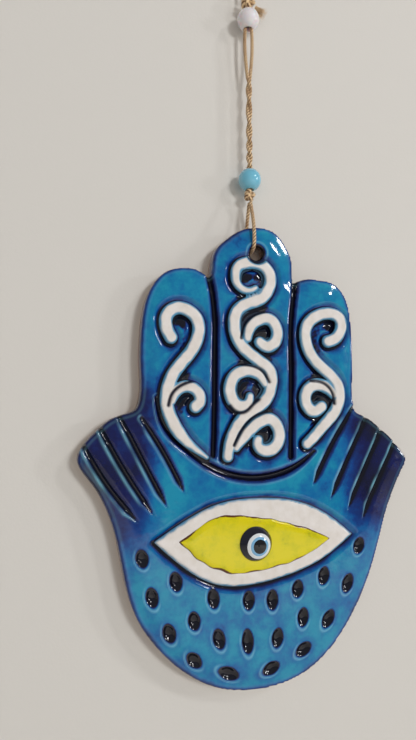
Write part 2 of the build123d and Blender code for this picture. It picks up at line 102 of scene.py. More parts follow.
FLUTE_SHARES = [
    [(-0.985, 0.520), (-0.850, 0.435), (-0.665, 0.350)],
    [(-0.895, 0.553), (-0.755, 0.460), (-0.580, 0.362)],
    [(-0.790, 0.575), (-0.655, 0.480), (-0.508, 0.378)],
    [(-0.655, 0.562), (-0.530, 0.490), (-0.413, 0.407)],
    [(0.640, 0.590), (0.480, 0.500), (0.358, 0.415)],
    [(0.758, 0.585), (0.595, 0.475), (0.470, 0.384)],
    [(0.858, 0.556), (0.705, 0.450), (0.582, 0.360)],
    [(0.945, 0.523), (0.795, 0.425), (0.675, 0.336)],
]
# Each seed dimple: place shares, lean in degrees, length as a share of the seed length
SEED_SHARES = [
    (-0.645, 0.280, 15, 0.92), (-0.589, 0.203, 15, 1.02), (-0.494, 0.131, 20, 0.98),
    (-0.357, 0.074, 42, 0.96), (-0.163, 0.041, 66, 1.16), (0.083, 0.042, -66, 0.98),
    (0.280, 0.073, -56, 0.96), (0.436, 0.131, -32, 1.02), (0.565, 0.203, -22, 1.02),
    (0.646, 0.282, -20, 0.90), (-0.460, 0.231, 14, 0.98), (-0.250, 0.192, 10, 1.02),
    (-0.046, 0.183, 0, 0.96), (0.095, 0.180, 0, 1.02), (0.250, 0.199, -8, 0.90),
    (0.414, 0.222, -13, 0.96), (-0.358, 0.151, 10, 0.92), (-0.218, 0.111, 15, 1.02),
    (-0.053, 0.101, 4, 1.24), (0.123, 0.102, -8, 0.98), (0.280, 0.139, -6, 0.98),
]
# Bands of each scroll, with the width shares at the start, the middle and the end
SCROLL_SHARES = {
    "scroll_left": [
        ([(-0.497, 0.736), (-0.524, 0.758), (-0.522, 0.782), (-0.470, 0.800), (-0.395, 0.796),
          (-0.343, 0.776), (-0.337, 0.745), (-0.370, 0.713), (-0.427, 0.685), (-0.483, 0.656),
          (-0.515, 0.622), (-0.515, 0.589), (-0.482, 0.555), (-0.427, 0.524), (-0.357, 0.500),
          (-0.288, 0.481)], (1.0, 1.0, 0.35)),
        ([(-0.492, 0.600), (-0.458, 0.623), (-0.400, 0.631), (-0.345, 0.622), (-0.326, 0.600),
          (-0.352, 0.588)], (0.7, 0.9, 0.95)),
    ],
    "scroll_middle": [
        ([(0.014, 0.856), (-0.032, 0.849), (-0.088, 0.857), (-0.112, 0.878), (-0.090, 0.904),
          (-0.020, 0.914), (0.063, 0.909), (0.106, 0.888), (0.098, 0.858), (0.045, 0.832),
          (-0.032, 0.820), (-0.102, 0.801), (-0.120, 0.767), (-0.095, 0.734), (-0.032, 0.708),
          (0.045, 0.688), (0.102, 0.667), (0.105, 0.638), (0.077, 0.609), (0.007, 0.585),
          (-0.070, 0.565), (-0.118, 0.540), (-0.150, 0.512), (-0.163, 0.482)], (0.5, 1.0, 0.85)),
        ([(-0.040, 0.742), (-0.020, 0.768), (0.032, 0.784), (0.106, 0.785), (0.146, 0.762),
          (0.133, 0.736), (0.083, 0.724), (0.036, 0.733)], (0.75, 1.0, 0.9)),
        ([(0.066, 0.640), (0.032, 0.660), (-0.045, 0.669), (-0.120, 0.656), (-0.150, 0.628),
          (-0.132, 0.603), (-0.085, 0.590), (-0.042, 0.596), (-0.028, 0.612)], (0.6, 1.0, 0.65)),
        ([(-0.112, 0.500), (-0.060, 0.526), (0.010, 0.551), (0.099, 0.562), (0.148, 0.539),
          (0.140, 0.510), (0.070, 0.494), (0.022, 0.503), (0.018, 0.516)], (0.6, 1.0, 0.8)),
    ],
    "scroll_right": [
        ([(0.478, 0.742), (0.522, 0.748), (0.564, 0.769), (0.562, 0.797), (0.500, 0.808),
          (0.412, 0.801), (0.343, 0.778), (0.330, 0.746), (0.357, 0.714), (0.413, 0.688),
          (0.490, 0.664), (0.540, 0.638), (0.542, 0.604), (0.503, 0.576), (0.440, 0.551),
          (0.385, 0.529), (0.328, 0.509)], (1.0, 1.0, 0.9)),
        ([(0.508, 0.618), (0.465, 0.634), (0.388, 0.641), (0.330, 0.624), (0.328, 0.596),
          (0.376, 0.581), (0.428, 0.592)], (0.7, 1.0, 0.9)),
    ],
}
CURL_LINE_SHARES = {
    "scroll_left": [[(-0.509, 0.590), (-0.490, 0.614), (-0.427, 0.635), (-0.350, 0.645)]],
    "scroll_middle": [
        [(-0.079, 0.741), (-0.062, 0.767), (0.000, 0.793), (0.085, 0.805)],
        [(0.090, 0.645), (0.057, 0.666), (-0.007, 0.679), (-0.095, 0.682)],
        [(-0.126, 0.506), (-0.070, 0.543), (0.010, 0.570), (0.084, 0.580)],
        [(0.026, 0.606), (-0.012, 0.594), (-0.055, 0.579), (-0.110, 0.577), (-0.150, 0.590)],
    ],
    "scroll_right": [[(0.509, 0.599), (0.490, 0.628), (0.439, 0.645), (0.357, 0.650)]],
}
ALMOND_SHARES = [
    [(-0.582, 0.311), (-0.406, 0.352), (-0.230, 0.382), (0.020, 0.393), (0.230, 0.386), (0.456, 0.351),
     (0.603, 0.308)],
    [(0.603, 0.308), (0.450, 0.267), (0.316, 0.243), (0.141, 0.224), (-0.060, 0.213), (-0.230, 0.219),
     (-0.427, 0.260), (-0.582, 0.311)],
]
IRIS_SHARES = [
    [(-0.450, 0.310), (-0.360, 0.333), (-0.230, 0.358), (-0.060, 0.358), (0.147, 0.345), (0.364, 0.319),
     (0.466, 0.302)],
    [(0.466, 0.302), (0.318, 0.270), (0.186, 0.252), (0.000, 0.240), (-0.155, 0.239), (-0.270, 0.254),
     (-0.380, 0.284), (-0.450, 0.310)],
]

# Routes of the twine, as in the CAD part: (X, Z) over the nail and (Y, Z) through the hand
NAIL_LOOP_POINTS = [
    (-1.0, -18.6), (-1.6, -14.2), (-2.5, -9.4), (-3.0, -4.9), (-2.7, -1.5), (-1.2, 0.7),
    (1.2, 0.7), (2.7, -1.5), (3.0, -4.9), (2.5, -9.4), (1.6, -14.2), (1.0, -18.6),
]
LOWER_LOOP_POINTS = [
    (-0.9, -117.0), (-2.2, -121.0), (-4.2, -126.2), (-5.2, -130.8), (-5.45, -135.2), (-4.8, -140.2),
    (4.8, -140.2), (5.45, -135.2), (5.2, -130.8), (4.2, -126.2), (2.2, -121.0), (0.9, -117.0),
]

# Sine waves that add up to one soft random field
WAVE_COUNT = 8
# Distances beyond this, in millimetres, don't matter to any edge or line
FAR = 12.0

Array = np.ndarray
Triple = tuple[float, float, float]
Colour = tuple[float, float, float, float]
Shares = list[tuple[float, ...]]
Field = Callable[[Array], Array]


class Body(Enum):
    """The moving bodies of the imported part."""

    HANGER = "hanger"
    CORD = "cord"
    WHITE_BEAD = "bead_white"
    TURQUOISE_BEAD = "bead_turquoise"
    LOWER_KNOT = "lower_knot"
    LOWER_LOOP = "lower_loop"
    PLAQUE = "plaque"


class Slot(Enum):
    """Material slots of the record."""

    HAND_GLAZE = "hand_glaze"
    WHITE_CLAY = "white_clay"
    IRIS = "iris_colour"
    GLUE = "glue"
    DARK_GLASS = "eye_dark_glass"
    WHITE_GLASS = "eye_white_glass"
    PALE_GLASS = "eye_pale_blue_glass"
    MILKY_BEAD = "milky_bead_glass"
    TURQUOISE_BEAD = "turquoise_bead_glass"
    JUTE = "jute"


def smoothstep(low: float, high: float, value: Array) -> Array:
    """Eases from 0 at low to 1 at high: t squared times (3 minus 2t).

    Args:
        low: value where the ease starts.
        high: value where it ends.
        value: values to ease.

    Returns:
        Eased values from 0 to 1.
    """
    share = np.clip((value - low) / (high - low), 0.0, 1.0)
    return share * share * (3.0 - 2.0 * share)


def spots(shares: Shares) -> Array:
    """Places on the flat hand, in millimetres, from their shares."""
    return np.array(shares, float) * (HALF_WIDTH, HAND_HEIGHT)


def run_along(points: Array) -> Array:
    """Length of a path from its start to each of its places: the sum of the straight pieces."""
    return np.concatenate([[0.0], np.cumsum(np.linalg.norm(np.diff(points, axis=0), axis=1))])


def smooth_line(points: Array, step: float = 0.8) -> Array:
    """A natural cubic spline through points over their chord lengths, sampled at even steps.

    Args:
        points: places that the line passes through.
        step: distance between samples, in millimetres.

    Returns:
        Sampled places.
    """
    knots = run_along(points)
    gaps = np.diff(knots)
    slopes = np.diff(points, axis=0) / gaps[:, None]
    size = len(points)
    system = np.eye(size)
    right = np.zeros_like(points)
    inner = np.arange(1, size - 1)
    system[inner, inner - 1] = gaps[:-1]
    system[inner, inner] = 2 * (gaps[:-1] + gaps[1:])
    system[inner, inner + 1] = gaps[1:]
    right[inner] = 6 * np.diff(slopes, axis=0)
    bends = np.linalg.solve(system, right)
    where = np.linspace(0.0, knots[-1], max(2, int(knots[-1] / step)) + 1)
    span = np.clip(np.searchsorted(knots, where, side="right") - 1, 0, size - 2)
    gap = gaps[span][:, None]
    before = (knots[span + 1] - where)[:, None]
    after = (where - knots[span])[:, None]
    return (
        (bends[span] * before**3 + bends[span + 1] * after**3) / (6 * gap)
        + (points[span] / gap - bends[span] * gap / 6) * before
        + (points[span + 1] / gap - bends[span + 1] * gap / 6) * after
    )


def smooth_loop(points: Array, spare: int = 5) -> Array:
    """A smooth closed outline: a spline over the places wrapped past both ends, less its spare ends.

    Args:
        points: places that the outline passes through, in order.
        spare: places that are wrapped past each end.

    Returns:
        Sampled places, without the first one repeated.
    """
    wrapped = np.vstack([points[-spare:], points, points[: spare + 1]])
    knots = run_along(wrapped)
    line = smooth_line(wrapped)
    run = np.linspace(0.0, knots[-1], len(line))
    return line[(run >= knots[spare]) & (run < knots[spare + len(points)])]


def closed_line(runs: list[Shares]) -> Array:
    """Several runs of shares joined end to end into one closed outline, without its repeated joints."""
    return np.concatenate([smooth_line(spots(run))[:-1] for run in runs])


def line_distance(points: Array, line: Array, reach: float) -> tuple[Array, Array]:
    """Distance from points to a line, and how far along it the nearest place is.

    Each point is projected on every straight piece of the line, and the nearest one counts.

    Args:
        points: places on the hand.
        line: sampled line.
        reach: points further from the line's box than this get that distance.

    Returns:
        Distances in millimetres and places along the line from 0 to 1.
    """
    distance = np.full(len(points), reach, float)
    share = np.zeros(len(points))
    near = np.all((points > line.min(0) - reach) & (points < line.max(0) + reach), axis=1)
    lengths = np.linalg.norm(np.diff(line, axis=0), axis=1)
    starts = np.concatenate([[0.0], np.cumsum(lengths)])
    chosen = points[near]
    best = np.full(len(chosen), reach, float)
    where = np.zeros(len(chosen))
    for start, end, length, begun in zip(line[:-1], line[1:], lengths, starts):
        along = (end - start) / length
        run = np.clip((chosen - start) @ along, 0.0, length)
        gap = chosen - start - run[:, None] * along
        far = np.sqrt(np.einsum("ij,ij->i", gap, gap))
        closer = far < best
        best[closer] = far[closer]
        where[closer] = (begun + run[closer]) / starts[-1]
    distance[near] = best
    share[near] = where
    return distance, share


def signed_distance(points: Array, outline: Array, reach: float = FAR) -> Array:
    """Distance to a closed outline, negative where a ray rightwards crosses it an odd number of times.

    Args:
        points: places on the hand.
        outline: closed outline without its first place repeated.
        reach: largest distance that is worked out.

    Returns:
        Signed distances in millimetres.
    """
    loop = np.vstack([outline, outline[:1]])
    distance, _ = line_distance(points, loop, reach)
    inside = np.zeros(len(points), bool)
    for (x0, y0), (x1, y1) in zip(loop[:-1], loop[1:]):
        if y0 == y1:
            continue
        spans = (points[:, 1] > min(y0, y1)) & (points[:, 1] <= max(y0, y1))
        cross = x0 + (points[:, 1] - y0) * (x1 - x0) / (y1 - y0)
        inside ^= spans & (points[:, 0] < cross)
    return np.where(inside, -distance, distance)


def taper(share: Array, widths: Triple) -> Array:
    """Width share along a stroke: its ends blend into its middle width over a sixth of its length.

    Args:
        share: places along the stroke from 0 to 1.
        widths: width shares at the start, the middle and the end.

    Returns:
        Width share at each place.
    """
    end = np.where(share < 0.5, widths[0], widths[2])
    blend = np.clip(np.minimum(share, 1 - share) * 6, 0.0, 1.0)
    return end + (widths[1] - end) * blend


def round_edge(distance: Array, radius: float) -> Array:
    """How far a rounded edge falls: a quarter circle over the distance from the edge."""
    inside = np.clip(distance, 0.0, radius)
    return radius - np.sqrt(radius**2 - (radius - inside) ** 2)


def waves(points: Array, scale: float, seed: int) -> Array:
    """A soft random field, mostly from -1 to 1: sine waves of random direction, phase and length, added up.

    Args:
        points: places on the hand.
        scale: usual length of a wave, in millimetres.
        seed: seed of the field.

    Returns:
        The field's value at each place.
    """
    random = np.random.default_rng(seed)
    total = np.zeros(len(points))
    for _ in range(WAVE_COUNT):
        turn, phase = random.uniform(0, 2 * math.pi, 2)
        way = np.array([math.cos(turn), math.sin(turn)]) * random.uniform(0.6, 1.6) * 2 * math.pi / scale
        total += np.sin(points @ way + phase)
    return 2 * total / WAVE_COUNT


def scroll_field(name: str) -> Field:
    """Signed distance to the bands of a scroll: the least of each band's distance less its half width.

    Args:
        name: name of the scroll's CAD node.

    Returns:
        A function from places on the hand to signed distances in millimetres.
    """
    bands = [(smooth_line(spots(shares)), widths) for shares, widths in SCROLL_SHARES[name]]

    def field_of(points: Array) -> Array:
        """Signed distance at the points, in millimetres."""
        least = np.full(len(points), FAR)
        for line, widths in bands:
            distance, share = line_distance(points, line, FAR)
            least = np.minimum(least, distance - SCROLL_HALF_WIDTH * taper(share, widths))
        return least

    return field_of


def leaf_field(runs: list[Shares]) -> Field:
    """Signed distance to a closed leaf."""
    outline = closed_line(runs)
    return lambda points: signed_distance(points, outline)


def to_world(points: Array, depth: Array) -> Array:
    """Places on the flat hand with their Y, in millimetres, as places in the row frame in metres."""
    return np.column_stack([points[:, 0], depth, points[:, 1] + BOTTOM_Z]) * MM


def new_object(name: str, vertices: Array, faces: Array, smooth: bool = True) -> bpy.types.Object:
    """A mesh object from whole arrays.

    Args:
        name: name of the object and its mesh.
        vertices: vertices in metres.
        faces: quads or triangles.
        smooth: whether the faces are shaded smooth.

    Returns:
        The object, linked to the scene.
    """
    mesh = bpy.data.meshes.new(name)
    mesh.from_pydata(vertices.tolist(), [], faces.tolist())
    mesh.polygons.foreach_set("use_smooth", [smooth] * len(mesh.polygons))
    mesh.validate()
    made = bpy.data.objects.new(name, mesh)
    bpy.context.scene.collection.objects.link(made)
    return made


def paint(piece: bpy.types.Object, name: str, values: Array) -> None:
    """Stores one number per vertex as an attribute that the finish reads."""
    layer = piece.data.attributes.new(name, "FLOAT", "POINT")
    layer.data.foreach_set("value", values.astype(np.float32))


def grid_faces(rings: int, sides: int, closed: bool = False) -> Array:
    """Quads of a grid of rings, each joined round.

    Args:
        rings: number of rings.
        sides: vertices of each ring.
        closed: whether the last ring is joined to the first.

    Returns:
        Quads, one row each.
    """
    ring = np.arange(rings if closed else rings - 1)[:, None]
    side = np.arange(sides)[None, :]
    after = (ring + 1) % rings
    beside = (side + 1) % sides
    quads = [ring * sides + side, ring * sides + beside, after * sides + beside, after * sides + side]
    return np.stack(np.broadcast_arrays(*quads), -1).reshape(-1, 4)


def repeated_faces(quads: Array, count: int, vertices: int) -> Array:
    """The quads of one shape as those of several: each copy's numbers start after the last one's vertices."""
    return (quads[None] + (np.arange(count) * vertices)[:, None, None]).reshape(-1, 4)


@dataclass
class ReliefSheet:
    """A slab whose front is a height field over a grid and whose edge follows a field's zero line.

    Attributes:
        name: name of the finished piece.
        outside: signed distance to the slab's outline, negative inside.
        depth: Y of the front at each place, in millimetres.
        floor: Y of the flat back, in millimetres.
        step: size of the grid's cells, in millimetres.
    """

    name: str
    outside: Field
    depth: Field
    floor: float
    step: float

    def snapped(self, points: Array) -> Array:
        """Edge places moved onto the outline: twice along the field's slope by the field's own value.

        Args:
            points: places near the outline.

        Returns:
            The same places on the outline.
        """
        nudge = 0.05
        least_slope = 0.25
        for _ in range(2):
            value = self.outside(points)
            slope = np.column_stack([
                self.outside(points + (nudge, 0.0)) - self.outside(points - (nudge, 0.0)),
                self.outside(points + (0.0, nudge)) - self.outside(points - (0.0, nudge)),
            ]) / (2 * nudge)
            square = np.maximum(np.einsum("ij,ij->i", slope, slope), least_slope)
            points = points - slope * (value / square)[:, None]
        return points

    def build(self, low: tuple[float, float],
              high: tuple[float, float]) -> tuple[bpy.types.Object, Array, Array]:
        """Builds the slab from the cells whose middle is inside, with walls and a flat back.

        Args:
            low: lowest corner of the grid on the flat hand.
            high: highest corner.

        Returns:
            The object, the place of each vertex on the flat hand, and 0 for the front to 1 for the floor.
        """
        across = np.arange(low[0], high[0] + self.step, self.step)
        up = np.arange(low[1], high[1] + self.step, self.step)
        points = np.stack(np.meshgrid(across, up), -1).reshape(-1, 2)
        columns = len(across)
        corner = (np.arange(len(up) - 1)[:, None] * columns + np.arange(columns - 1)[None, :]).ravel()
        quads = np.column_stack([corner, corner + 1, corner + columns + 1, corner + columns])
        quads = quads[self.outside(points[quads].mean(1)) < 0]
        used, quads = np.unique(quads, return_inverse=True)
        quads = quads.reshape(-1, 4)
        points = points[used]
        edges = np.stack([quads, np.roll(quads, -1, axis=1)], -1).reshape(-1, 2)
        forward = edges[:, 0] * len(points) + edges[:, 1]
        backward = edges[:, 1] * len(points) + edges[:, 0]
        rim_edges = edges[~np.isin(forward, backward)]
        rim = np.unique(rim_edges)
        points[rim] = self.snapped(points[rim])
        front = self.depth(points)
        ring = np.searchsorted(rim, rim_edges) + len(points)
        walls = np.column_stack([rim_edges[:, 1], rim_edges[:, 0], ring[:, 0], ring[:, 1]])
        halfway = (front[rim] + self.floor) / 2
        places = np.vstack([points, points[rim], points[rim]])
        depths = np.concatenate([front, halfway, np.full(len(rim), self.floor)])
        lower = np.column_stack([walls[:, [3, 2]], walls[:, [2, 3]] + len(rim)])
        piece = new_object(self.name, to_world(places, depths), np.vstack([quads, walls, lower]))
        self.close_back(piece, len(points) + len(rim))
        level = np.concatenate([np.zeros(len(points)), np.full(len(rim), 0.5), np.ones(len(rim))])
        return piece, places, level

    @staticmethod
    def close_back(piece: bpy.types.Object, first: int) -> None:
        """Fills the back between the last ring's loops with triangles, flat shaded.

        Args:
            piece: the slab without its back.
            first: first vertex of the last ring.
        """
        work = bmesh.new()
        work.from_mesh(piece.data)
        loop = [
            edge for edge in work.edges
            if edge.is_boundary and min(corner.index for corner in edge.verts) >= first
        ]
        made = bmesh.ops.triangle_fill(work, use_beauty=True, edges=loop, normal=(0, 1, 0))
        for face in made["geom"]:
            if isinstance(face, bmesh.types.BMFace):
                face.smooth = False
        bmesh.ops.recalc_face_normals(work, faces=work.faces)
        work.to_mesh(piece.data)
        work.free()


def linear(red: float, green: float, blue: float) -> Colour:
    """A colour seen on screen, 0 to 255 each, as the linear colour that a shader takes."""
    shares = [channel / 255 for channel in (red, green, blue)]
    return tuple(c / 12.92 if c <= 0.04045 else ((c + 0.055) / 1.055) ** 2.4 for c in shares) + (1.0,)


BLACK = (0.0, 0.0, 0.0, 1.0)
WHITE = (1.0, 1.0, 1.0, 1.0)


class Shader:
    """A material's node tree with short ways to add the nodes that the finishes share."""

    def __init__(self, name: str) -> None:
        """Starts a material with one Principled shader."""
        self.material = bpy.data.materials.new(name)
        self.material.use_nodes = True
        self.tree = self.material.node_tree
        self.surface = self.tree.nodes["Principled BSDF"]

    def node(self, kind: str, **links: object) -> bpy.types.Node:
        """Adds a node and sets or links its inputs.

        Args:
            kind: type of the node.
            **links: values or outputs by the input's name, with underscores for spaces.

        Returns:
            The node.
        """
        made = self.tree.nodes.new(kind)
        for name, value in links.items():
            self.put(made.inputs[name.replace("_", " ")], value)
        return made

    def put(self, socket: bpy.types.NodeSocket, value: object) -> None:
        """Links an output to a socket, or sets a plain value on it."""
        if isinstance(value, bpy.types.NodeSocket):
            self.tree.links.new(value, socket)
        else:
            socket.default_value = value

    def attribute(self, name: str) -> bpy.types.NodeSocket:
        """The number stored on the piece's vertices under that name."""
        made = self.tree.nodes.new("ShaderNodeAttribute")
        made.attribute_name = name
        return made.outputs["Fac"]

    def noise(self, scale: float, detail: float = 3.0, roughness: float = 0.55) -> bpy.types.NodeSocket:
        """Noise over the piece's own coordinates.

        Args:
            scale: cycles per metre.
            detail: number of finer layers.
            roughness: share of the finer layers.

        Returns:
            Output from 0 to 1.
        """
        place = self.tree.nodes.new("ShaderNodeTexCoord").outputs["Object"]
        made = self.node("ShaderNodeTexNoise", Vector=place, Scale=scale, Detail=detail, Roughness=roughness)
        return made.outputs["Fac"]

    def math(self, operation: str, first: object, second: object = 0.0,
             clamp: bool = False) -> bpy.types.NodeSocket:
        """One sum of two numbers.

        Args:
            operation: name of the sum.
            first: first number or output.
            second: second number or output.
            clamp: whether the result is kept from 0 to 1.

        Returns:
            Output of the sum.
        """
        made = self.tree.nodes.new("ShaderNodeMath")
        made.operation = operation
        made.use_clamp = clamp
        self.put(made.inputs[0], first)
        self.put(made.inputs[1], second)
        return made.outputs[0]

    def ramp(self, value: object, stops: list[tuple[float, Colour]]) -> bpy.types.NodeSocket:
        """Colours along a value.

        Args:
            value: output from 0 to 1.
            stops: places and their colours, in order.

        Returns:
            Colour output.
        """
        made = self.tree.nodes.new("ShaderNodeValToRGB")
        bar = made.color_ramp
        while len(bar.elements) < len(stops):
            bar.elements.new(0.5)
        for element, (place, colour) in zip(bar.elements, stops):
            element.position = place
            element.color = colour
        self.put(made.inputs["Fac"], value)
        return made.outputs["Color"]

    def step(self, value: object, low: float, high: float) -> bpy.types.NodeSocket:
        """0 up to the low value, 1 from the high value, and even between."""
        return self.ramp(value, [(low, BLACK), (high, WHITE)])

    def wander(
        self, scale: float, detail: float, swing: float, roughness: float = 0.55
    ) -> bpy.types.NodeSocket:
        """Noise about zero: its distance from one half, times the swing."""
        return self.math("MULTIPLY", self.math("SUBTRACT", self.noise(scale, detail, roughness), 0.5), swing)

    def mix(self, share: object, first: object, second: object) -> bpy.types.NodeSocket:
        """A blend of two colours.

        Args:
            share: share of the second colour.
            first: first colour.
            second: second colour.

        Returns:
            Colour output.
        """
        made = self.tree.nodes.new("ShaderNodeMix")
        made.data_type = "RGBA"
        self.put(made.inputs[0], share)
        self.put(made.inputs[6], first)
        self.put(made.inputs[7], second)
        return made.outputs[2]

    def bump(self, height: object, strength: float, distance: float) -> None:
        """Roughens the surface by a height, over a distance in metres."""
        made = self.node("ShaderNodeBump", Height=height, Strength=strength, Distance=distance)
        self.put(self.surface.inputs["Normal"], made.outputs["Normal"])

    def finish(self, **values: object) -> bpy.types.Material:
        """Sets the surface's own sockets and returns the material."""
        for name, value in values.items():
            self.put(self.surface.inputs[name.replace("_", " ")], value)
        return self.material


@dataclass(frozen=True)
class HandGlaze:
    """Turquoise glaze that pools dark in the hollows and breaks pale on the ridges, with painted highlights
    on some lips and rims and painted shade at the edges, the hole and beside the white clay.
    """

    teal: Colour = linear(20, 134, 166)
    turquoise: Colour = linear(8, 118, 160)
    sky: Colour = linear(4, 96, 154)
    blue: Colour = linear(6, 56, 124)
    cobalt: Colour = linear(12, 20, 76)
    navy: Colour = linear(8, 8, 22)
    ridge_and_highlight: Colour = linear(132, 200, 218)
    clay: Colour = linear(158, 118, 88)

    def material(self) -> bpy.types.Material:
        """Builds the material: a ramp over pooling and painted shade with noise, pale ridges and painted
        highlights, bare clay low on the sides.
        """
        shader = Shader("hand_glaze")
        drift = shader.math("ADD", shader.wander(62.0, 5.0, 0.95, 0.62), shader.wander(190.0, 4.0, 0.55, 0.6))
        mottle = shader.math("ADD", drift, shader.wander(520.0, 3.0, 0.22))
        shallow = shader.math("SUBTRACT", 1.15, shader.attribute("pool"))
        mottle = shader.math("MULTIPLY", mottle, shallow)
        pool = shader.math("ADD", shader.math("ADD", shader.attribute("pool"), 0.07), mottle)
        # The pooling share also holds painted shade, so its dark end stands for shade as well as pooled
        # glaze.
        colour = shader.ramp(pool, [
            (0.0, self.teal), (0.15, self.turquoise), (0.32, self.sky),
            (0.50, self.blue), (0.72, self.cobalt), (0.94, self.navy),
        ])
        # Pale ridge colour, which also serves as painted highlight on lips, seed rims and round the hole.
        colour = shader.mix(shader.attribute("ridge_and_highlight"), colour, self.ridge_and_highlight)
        colour = shader.mix(shader.attribute("bare"), colour, self.clay)
        shader.bump(shader.noise(170.0, 3.0), 0.22, 0.0007)
        rough = shader.math("ADD", shader.math("MULTIPLY", shader.attribute("bare"), 0.6), 0.09)
        return shader.finish(
            Base_Color=colour, Roughness=rough, IOR=1.5, Coat_Weight=0.5, Coat_Roughness=0.03,
        )


@dataclass(frozen=True)
class WhiteGlaze:
    """Off-white satin glaze, tinted blue along its bevelled edge and dark in its parting lines."""

    white: Colour = linear(222, 216, 212)
    warm: Colour = linear(208, 200, 191)
    edge: Colour = linear(64, 140, 178)
    line: Colour = linear(12, 14, 34)

    def material(self) -> bpy.types.Material:
        """Builds the material from the stored edge and line shares."""
        shader = Shader("white_clay")
        colour = shader.mix(shader.step(shader.noise(220.0, 5.0), 0.35, 0.75), self.white, self.warm)
        colour = shader.mix(shader.attribute("edge"), colour, self.edge)
        colour = shader.mix(shader.attribute("line"), colour, self.line)
        shader.bump(shader.noise(500.0, 4.0), 0.25, 0.0004)
        return shader.finish(Base_Color=colour, Roughness=0.34, IOR=1.5, Coat_Weight=0.2, Coat_Roughness=0.12)


@dataclass(frozen=True)
class IrisGlaze:
    """Glossy acid yellow-green glaze with olive mottling and a thin brown outline."""

    yellow: Colour = linear(212, 198, 3)
    lime: Colour = linear(196, 188, 5)
    olive: Colour = linear(148, 146, 26)
    outline: Colour = linear(88, 46, 18)

    def material(self) -> bpy.types.Material:
        """Builds the material: mottling by noise and the outline by the stored edge share."""
        shader = Shader("iris_colour")
        mottle = shader.noise(150.0, 6.0, 0.7)
        colour = shader.ramp(mottle, [(0.26, self.olive), (0.40, self.lime), (0.54, self.yellow)])
        edge = shader.math("ADD", shader.attribute("edge"), shader.wander(480.0, 2.0, 0.5), True)
        colour = shader.mix(shader.step(edge, 0.62, 0.85), colour, self.outline)
        shader.bump(shader.noise(320.0, 3.0), 0.15, 0.0005)
        return shader.finish(Base_Color=colour, Roughness=0.12, IOR=1.5, Coat_Weight=0.4, Coat_Roughness=0.04)


@dataclass(frozen=True)
class PlainFinish:
    """A finish of one colour, such as glass or glue.

    Attributes:
        name: name of the material.
        colour: its colour.
        roughness: its roughness.
        clear: how much light goes through it.
        milk: how much light spreads inside it.
        coat: weight of the gloss over it.
    """

    name: str
    colour: Colour
    roughness: float = 0.05
    clear: float = 0.0
    milk: float = 0.0
    coat: float = 0.0

    def material(self) -> bpy.types.Material:
        """Builds the material with a faint unevenness in its surface."""
        shader = Shader(self.name)
        shader.bump(shader.noise(300.0, 2.0), 0.06, 0.0003)
        return shader.finish(
            Base_Color=self.colour, Roughness=self.roughness, IOR=1.5, Transmission_Weight=self.clear,
            Subsurface_Weight=self.milk, Subsurface_Scale=0.003, Coat_Weight=self.coat,
            Coat_Roughness=0.10,
        )


@dataclass(frozen=True)
class JuteFinish:
    """Tan natural fibre, with painted shade in the creases between its plies."""

    pale: Colour = linear(236, 210, 170)
    tan: Colour = linear(204, 168, 124)
    brown: Colour = linear(146, 100, 60)
    dark: Colour = linear(92, 56, 30)

    def material(self) -> bpy.types.Material:
        """Builds the material from the stored share of painted ply shade and random tone, and a fine fibre
        noise.
        """
        shader = Shader("jute")
        colour = shader.mix(shader.step(shader.noise(1600.0, 4.0), 0.3, 0.7), self.tan, self.pale)
        patches = shader.math("MULTIPLY", shader.step(shader.noise(240.0, 3.0), 0.50, 0.66), 0.6)
        colour = shader.mix(patches, colour, self.brown)
        # Painted shade in the creases between plies; on the frayed fibres a random darker tone.
        ply_shade_and_tone = shader.step(shader.attribute("ply_shade_and_tone"), 0.12, 0.80)
        colour = shader.mix(ply_shade_and_tone, colour, self.dark)
        shader.bump(shader.noise(3200.0, 3.0), 0.5, 0.0002)
        return shader.finish(Base_Color=colour, Roughness=0.85, IOR=1.4, Sheen_Weight=0.25)


@dataclass
class Stroke:
    """A groove or flute pressed into the clay.

    Attributes:
        line: its sampled centre line.
        half: half of its width.
        depth: its depth.
        widths: width shares at the start, the middle and the end.
        darkness: pooling of the glaze along its middle.
        crest_at: where its pale lip lies, in half widths from the middle.
        crest_width: how far the lip fades, in half widths.
        crest_pale_and_highlight: how pale the lip is, partly glaze breaking pale and partly painted
            highlight.
        crest_lit_on_left_only: whether only the lip on the left of the line is pale: a painted highlight on
            the side that faces the light.
    """

    line: Array
    half: float
    depth: float
    widths: Triple = (1.0, 1.0, 1.0)
    darkness: float = 0.98
    crest_at: float = 1.45
    crest_width: float = 0.20
    crest_pale_and_highlight: float = 0.10
    crest_lit_on_left_only: bool = False

    def relief(self, points: Array) -> tuple[Array, Array, Array]:
        """Cut, pooling and lip, whose paleness is partly painted highlight: eased steps over the distance
        across the line in half widths.

        Args:
            points: places on the hand.

        Returns:
            Depth of the cut, pooling share and lip share (pale glaze and painted highlight) at the points.
        """
        distance, place = line_distance(points, self.line, FAR)
        width = taper(place, self.widths)
        across = distance / (self.half * width)
        cut = self.depth * (1 - smoothstep(0.1, 1.15, across)) * (0.35 + 0.65 * width)
        core = self.darkness * (1 - smoothstep(0.45, 1.10, across))
        halo = 0.52 * (1 - smoothstep(0.9, 2.0, across))
        pool = np.maximum(core, halo) * smoothstep(0.0, 0.5, width)
        lip = self.crest_pale_and_highlight * np.exp(-(((across - self.crest_at) / self.crest_width) ** 2))
        # Painted highlight: only the lip on the side towards the light stays pale, in broken streaks.
        if self.crest_lit_on_left_only:
            to_the_right = (0.4, 0.0)
            nearer = distance - line_distance(points + to_the_right, self.line, FAR)[0]
            lip *= smoothstep(-0.1, 0.25, nearer) * np.clip(0.65 + 0.5 * waves(points, 12.0, 21), 0.1, 1.0)
        return cut, pool, lip


